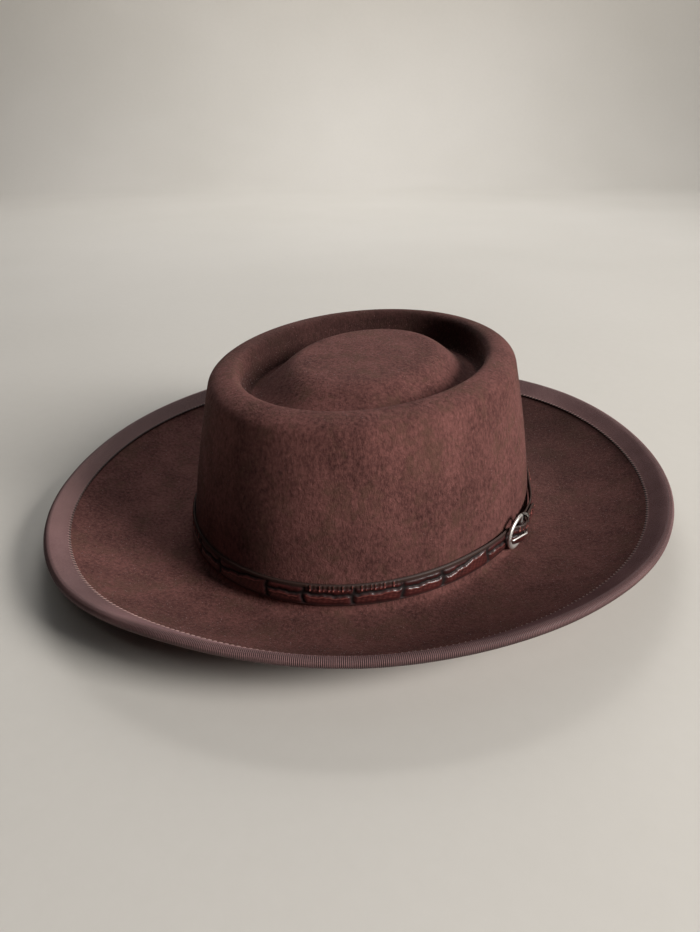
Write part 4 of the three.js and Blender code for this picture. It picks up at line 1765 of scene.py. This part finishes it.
@dataclass
class Buckle:
    """Metal buckle: its frame with the bar, the prong and the keeper.

    The lift is how far above the band's middle the frame and the prong sit, in millimetres. The swell
    is the share by which the frame's round side is wider than its wire.
    """

    band: BandForm
    sides: int = 20
    lift: float = 1.2
    swell: float = 0.45

    @property
    def crossing(self) -> float:
        """Distance from the bar at which the frame's round side crosses the band's edges."""
        band = self.band
        bend = math.sqrt(1 - (band.height / 2 / band.frame_half) ** 2)
        return band.frame_reach - band.buckle_round + band.buckle_round * bend

    @property
    def far_out(self) -> float:
        """Distance out of the frame's far side, over the band."""
        band = self.band
        at = np.array([band.round - self.crossing + band.wire_width / 2])
        return float(band.pose(at)[0][0]) + band.thickness / 2 + band.hat.gap + band.wire_depth / 2

    def tube(self, name: str, route: np.ndarray, radii: np.ndarray, closed: bool) -> bpy.types.Object:
        """Sweep a rounded section along a route told by places on the band.

        Args:
            name: Name of the piece.
            route: Rows of (along, out, height from the band's middle).
            radii: Half depth outwards and half width across at each row.
            closed: Whether the route joins its own start.

        Returns:
            The tube.
        """
        band = self.band
        places = band.place(route[:, 0], route[:, 1], band.middle + route[:, 2])
        if closed:
            along = unit(np.roll(places, -1, 0) - np.roll(places, 1, 0))
        else:
            along = unit(np.gradient(places, axis=0))
        outwards = band.outwards(route[:, 0])
        outwards = unit(outwards - along * (outwards * along).sum(1, keepdims=True))
        across = np.cross(along, outwards)
        turn = np.arange(self.sides) * FULL_TURN / self.sides
        ring = (outwards[:, None] * (radii[:, :1] * np.cos(turn))[..., None]
                + across[:, None] * (radii[:, 1:] * np.sin(turn))[..., None]) * MM
        rings = places[:, None] + ring
        return loft(name, rings, None if closed else (places[0], places[-1]))

    def build_frame(self) -> bpy.types.Object:
        """Build the D-shaped frame.

        Returns:
            The frame.
        """
        band = self.band
        corner = band.wire_width
        outline = [(0.0, up) for up in np.linspace(-band.frame_half + corner, band.frame_half - corner, 9)]
        outline += [(-corner + corner * math.cos(t), band.frame_half - corner + corner * math.sin(t))
                    for t in np.linspace(0, math.pi / 2, 7)[1:]]
        outline += [(band.buckle_round - band.frame_reach + band.buckle_round * math.cos(t),
                     band.frame_half * math.sin(t)) for t in np.linspace(math.pi / 2, 1.5 * math.pi, 37)]
        outline += [(-corner + corner * math.cos(t), corner - band.frame_half - corner * math.sin(t))
                    for t in np.linspace(math.pi / 2, 0, 7)[:-1]]
        plan = np.array(outline)
        out = band.bar_out + (self.far_out - band.bar_out) * -plan[:, 0] / band.frame_reach
        route = np.column_stack([plan[:, 0], out, plan[:, 1] + self.lift])
        swell = 1 + self.swell * np.clip(-plan[:, 0] / band.frame_reach, 0, 1)
        radii = np.column_stack([np.full(len(plan), band.wire_depth / 2), band.wire_width / 2 * swell])
        return self.tube("buckle_ring", route, radii, True)

    def build_prong(self) -> bpy.types.Object:
        """Build the prong and its eye round the bar.

        Returns:
            The prong.
        """
        band = self.band
        over = band.over_bar + band.thickness / 2 + band.hat.gap + band.prong_wire / 2
        rest = self.far_out + band.wire_depth / 2 + band.hat.gap + band.prong_wire / 2
        keys = np.array([
            (0.0, band.bar_out + band.bore_radius + band.eye_wall / 2, 0.0),
            (-0.05, band.over_bar, 0.0),
            (-0.16, over, self.lift * 0.6),
            (-0.55, (over + rest) / 2 + band.hat.gap, self.lift),
            (-1.06, rest, self.lift),
        ])
        keys[:, 0] *= band.frame_reach
        route = spline(keys, 48)
        share = np.linspace(0, 1, len(route))
        tip = np.clip((share - 0.94) / 0.06, 0, 1)
        taper = (1 - 0.28 * share) * np.sqrt(np.maximum(1 - tip**2, 0.02))
        radii = np.column_stack([taper, taper]) * band.prong_wire / 2
        shaft = self.tube("prong_shaft", route, radii, False)
        turn = np.arange(40) * FULL_TURN / 40
        middle = (band.bore_radius + band.eye_radius) / 2
        wall = band.eye_wall / 2
        section = np.arange(12) * FULL_TURN / 12
        rings = []
        for angle in turn:
            reach = middle + wall * np.cos(section)
            rings.append(band.place(reach * math.sin(angle), band.bar_out + reach * math.cos(angle),
                                    band.middle + band.prong_wire / 2 * np.sin(section)))
        return joined("buckle_pin", [shaft, loft("prong_eye", np.array(rings))])

    def build_keeper(self) -> bpy.types.Object:
        """Build the flat loop that holds the loose end down.

        Returns:
            The keeper.
        """
        band = self.band
        gap, wall = band.hat.gap, band.keeper_wall
        inner = band.fixed_out - band.thickness / 2 - gap - wall / 2
        outer = band.tail_out + band.thickness / 2 + gap + wall / 2
        half = band.height / 2 + gap + wall / 2
        middle, reach = (inner + outer) / 2, (outer - inner) / 2
        turn = np.arange(96) * FULL_TURN / 96
        cosine, sine = np.cos(turn), np.sin(turn)
        depth = middle + reach * np.sign(cosine) * np.abs(cosine) ** 0.42
        up = half * np.sign(sine) * np.abs(sine) ** 0.16
        centre = np.stack([depth, up], -1)
        along = unit(np.roll(centre, -1, 0) - np.roll(centre, 1, 0))
        normal = np.stack([along[:, 1], -along[:, 0]], -1)
        section = np.arange(16) * FULL_TURN / 16
        thick = wall / 2 * np.sign(np.sin(section)) * np.abs(np.sin(section)) ** 0.6
        wide = band.keeper_width / 2 * np.sign(np.cos(section)) * np.abs(np.cos(section)) ** 0.5
        rings = []
        for spot, direction in zip(centre, normal):
            line = spot + direction * thick[:, None]
            rings.append(band.place(band.keeper_at + wide, line[:, 0], band.middle + line[:, 1]))
        return loft("keeper_band", np.array(rings))

    def dress(self, pieces: dict) -> None:
        """Give the pieces their finish and their places in the frame.

        Args:
            pieces: Pairs of a piece and its material by the node that each stands for.
        """
        for node, (piece, material) in pieces.items():
            piece.data.materials.append(material)
            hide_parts(node)
            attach(piece, "root")
            log.info("%s: %d faces", piece.name, len(piece.data.polygons))


@dataclass
class Studio:
    """Camera at the photograph's angle, soft light and a plain pale floor.

    The eye is in millimetres, its turns are in degrees, and the floor's sizes are in metres.
    """

    hat: HatForm
    eye: tuple = (145.5, -305.6, 193.3)
    heading: float = 27.0
    pitch: float = 27.02
    roll: float = -0.6
    focal_share: float = 700 / 932
    sensor: float = 36.0
    floor_reach: float = 6.0
    floor_back: float = 1.6
    floor_bend: float = 0.5

    def build_camera(self) -> None:
        """Create the camera and make it the scene's own."""
        data = bpy.data.cameras.new("photo_view")
        data.sensor_width = self.sensor
        data.lens = self.focal_share * self.sensor
        data.clip_start = 0.01
        camera = bpy.data.objects.new("photo_view", data)
        shift_x, shift_y = self.hat.shift
        camera.location = (
            (self.eye[0] + shift_x) * MM, (self.eye[1] + shift_y) * MM, self.eye[2] * MM)
        turn = (Matrix.Rotation(self.heading * DEGREE, 4, "Z")
                @ Matrix.Rotation((90 - self.pitch) * DEGREE, 4, "X")
                @ Matrix.Rotation(self.roll * DEGREE, 4, "Z"))
        camera.rotation_euler = turn.to_euler()
        bpy.context.scene.collection.objects.link(camera)
        bpy.context.scene.camera = camera

    @staticmethod
    def build_lights() -> None:
        """Add a soft key light from the right and weak fills, and set the pale surroundings."""
        for soft in LIGHTS:
            data = bpy.data.lights.new(soft.name, "AREA")
            data.size, data.energy, data.color = soft.size, soft.power, soft.tint
            light = bpy.data.objects.new(soft.name, data)
            light.location = soft.place
            facing = Vector(soft.aim) - Vector(soft.place)
            light.rotation_euler = facing.to_track_quat("-Z", "Y").to_euler()
            bpy.context.scene.collection.objects.link(light)
        world = bpy.data.worlds.new("pale_surroundings")
        world.use_nodes = True
        backdrop = world.node_tree.nodes["Background"]
        backdrop.inputs["Color"].default_value = (0.82, 0.83, 0.85, 1.0)
        backdrop.inputs["Strength"].default_value = 0.02
        scene = bpy.context.scene
        scene.world = world
        scene.view_settings.view_transform = "Standard"

    def build_floor(self, material: bpy.types.Material) -> bpy.types.Object:
        """Add the floor.

        Args:
            material: Its material.

        Returns:
            The floor.
        """
        reach, back, bend = self.floor_reach, self.floor_back, self.floor_bend
        turns = np.linspace(0, math.pi / 2, 17)
        profile = [(-reach, 0.0), (back, 0.0)]
        profile += [(back + bend * math.sin(t), bend - bend * math.cos(t)) for t in turns[1:]]
        profile.append((back + bend, reach))
        depth, height = np.array(profile).T
        heading = self.heading * DEGREE
        forward = np.array([-math.sin(heading), math.cos(heading)])
        aside = np.array([forward[1], -forward[0]])
        rows = []
        for side in (-reach, reach):
            plan = depth[:, None] * forward + side * aside
            rows.append(np.column_stack([plan, height]))
        count = len(profile)
        faces = [[i, count + i, count + i + 1, i + 1] for i in range(count - 1)]
        floor = mesh_object("floor", np.vstack(rows), faces)
        floor.data.materials.append(material)
        return floor


def hat_form() -> HatForm:
    """Fit the hat's form to the frame: its outline's middle is where the binding's box has it.

    Returns:
        The form, with its shift.
    """
    low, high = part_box("brim_binding")
    plain = HatForm()
    angle = np.arange(720) * FULL_TURN / 720
    places = plain.place(angle, *plain.fold(angle, math.pi / 2, plain.felt / 2 + plain.gap + plain.binding))
    middle = (places.min(0) + places.max(0)) / 2
    shift = ((low + high) / 2).to_2d() - Vector(middle[:2])
    return HatForm(shift=(shift.x / MM, shift.y / MM))


def main() -> None:
    """Build the hat, dress each piece and set the studio."""
    logging.basicConfig(level=logging.INFO, format="%(name)s %(message)s")
    hat = hat_form()
    log.info("shift %.2f %.2f mm", *hat.shift)
    effects = Effects()
    studio = Studio(hat)
    studio.build_camera()

    felt = FeltBody(hat)
    nap = felt.build_nap(NapFinish().material(effects))
    felt.dress(felt.build(), nap, FeltFinish().material(effects))

    ribbon = BrimRibbon(hat)
    grosgrain = RibbonFinish().material(effects)
    # The ribbon's body is far darker than its ribs: painted shade between the ribs.
    painted_shade_body = RibbonFinish("grosgrain_painted_shade_body", colour(34, 22, 22), colour(48, 32, 31), colour(26, 17, 17),
                          colour(60, 44, 42)).material(effects)
    thread = ThreadFinish().material(effects)
    extras = [ribbon.build_ribs(grosgrain), ribbon.build_stitches(thread)]
    ribbon.dress(ribbon.build_strip(), extras, painted_shade_body)

    band = BandForm(hat)
    leather = LeatherBand(band)
    leather.dress(leather.build(), leather.build_eye(), LeatherFinish().material(effects))

    buckle = Buckle(band)
    bright = MetalFinish().material(effects)
    dull = MetalFinish("dull_metal", colour(96, 90, 86), colour(128, 122, 116)).material(effects)
    buckle.dress({
        "buckle_frame": (buckle.build_frame(), bright),
        "buckle_prong": (buckle.build_prong(), bright),
        "keeper_loop": (buckle.build_keeper(), dull),
    })

    studio.build_floor(FloorFinish().material(effects))
    studio.build_lights()


if __name__ == "__main__":
    main()
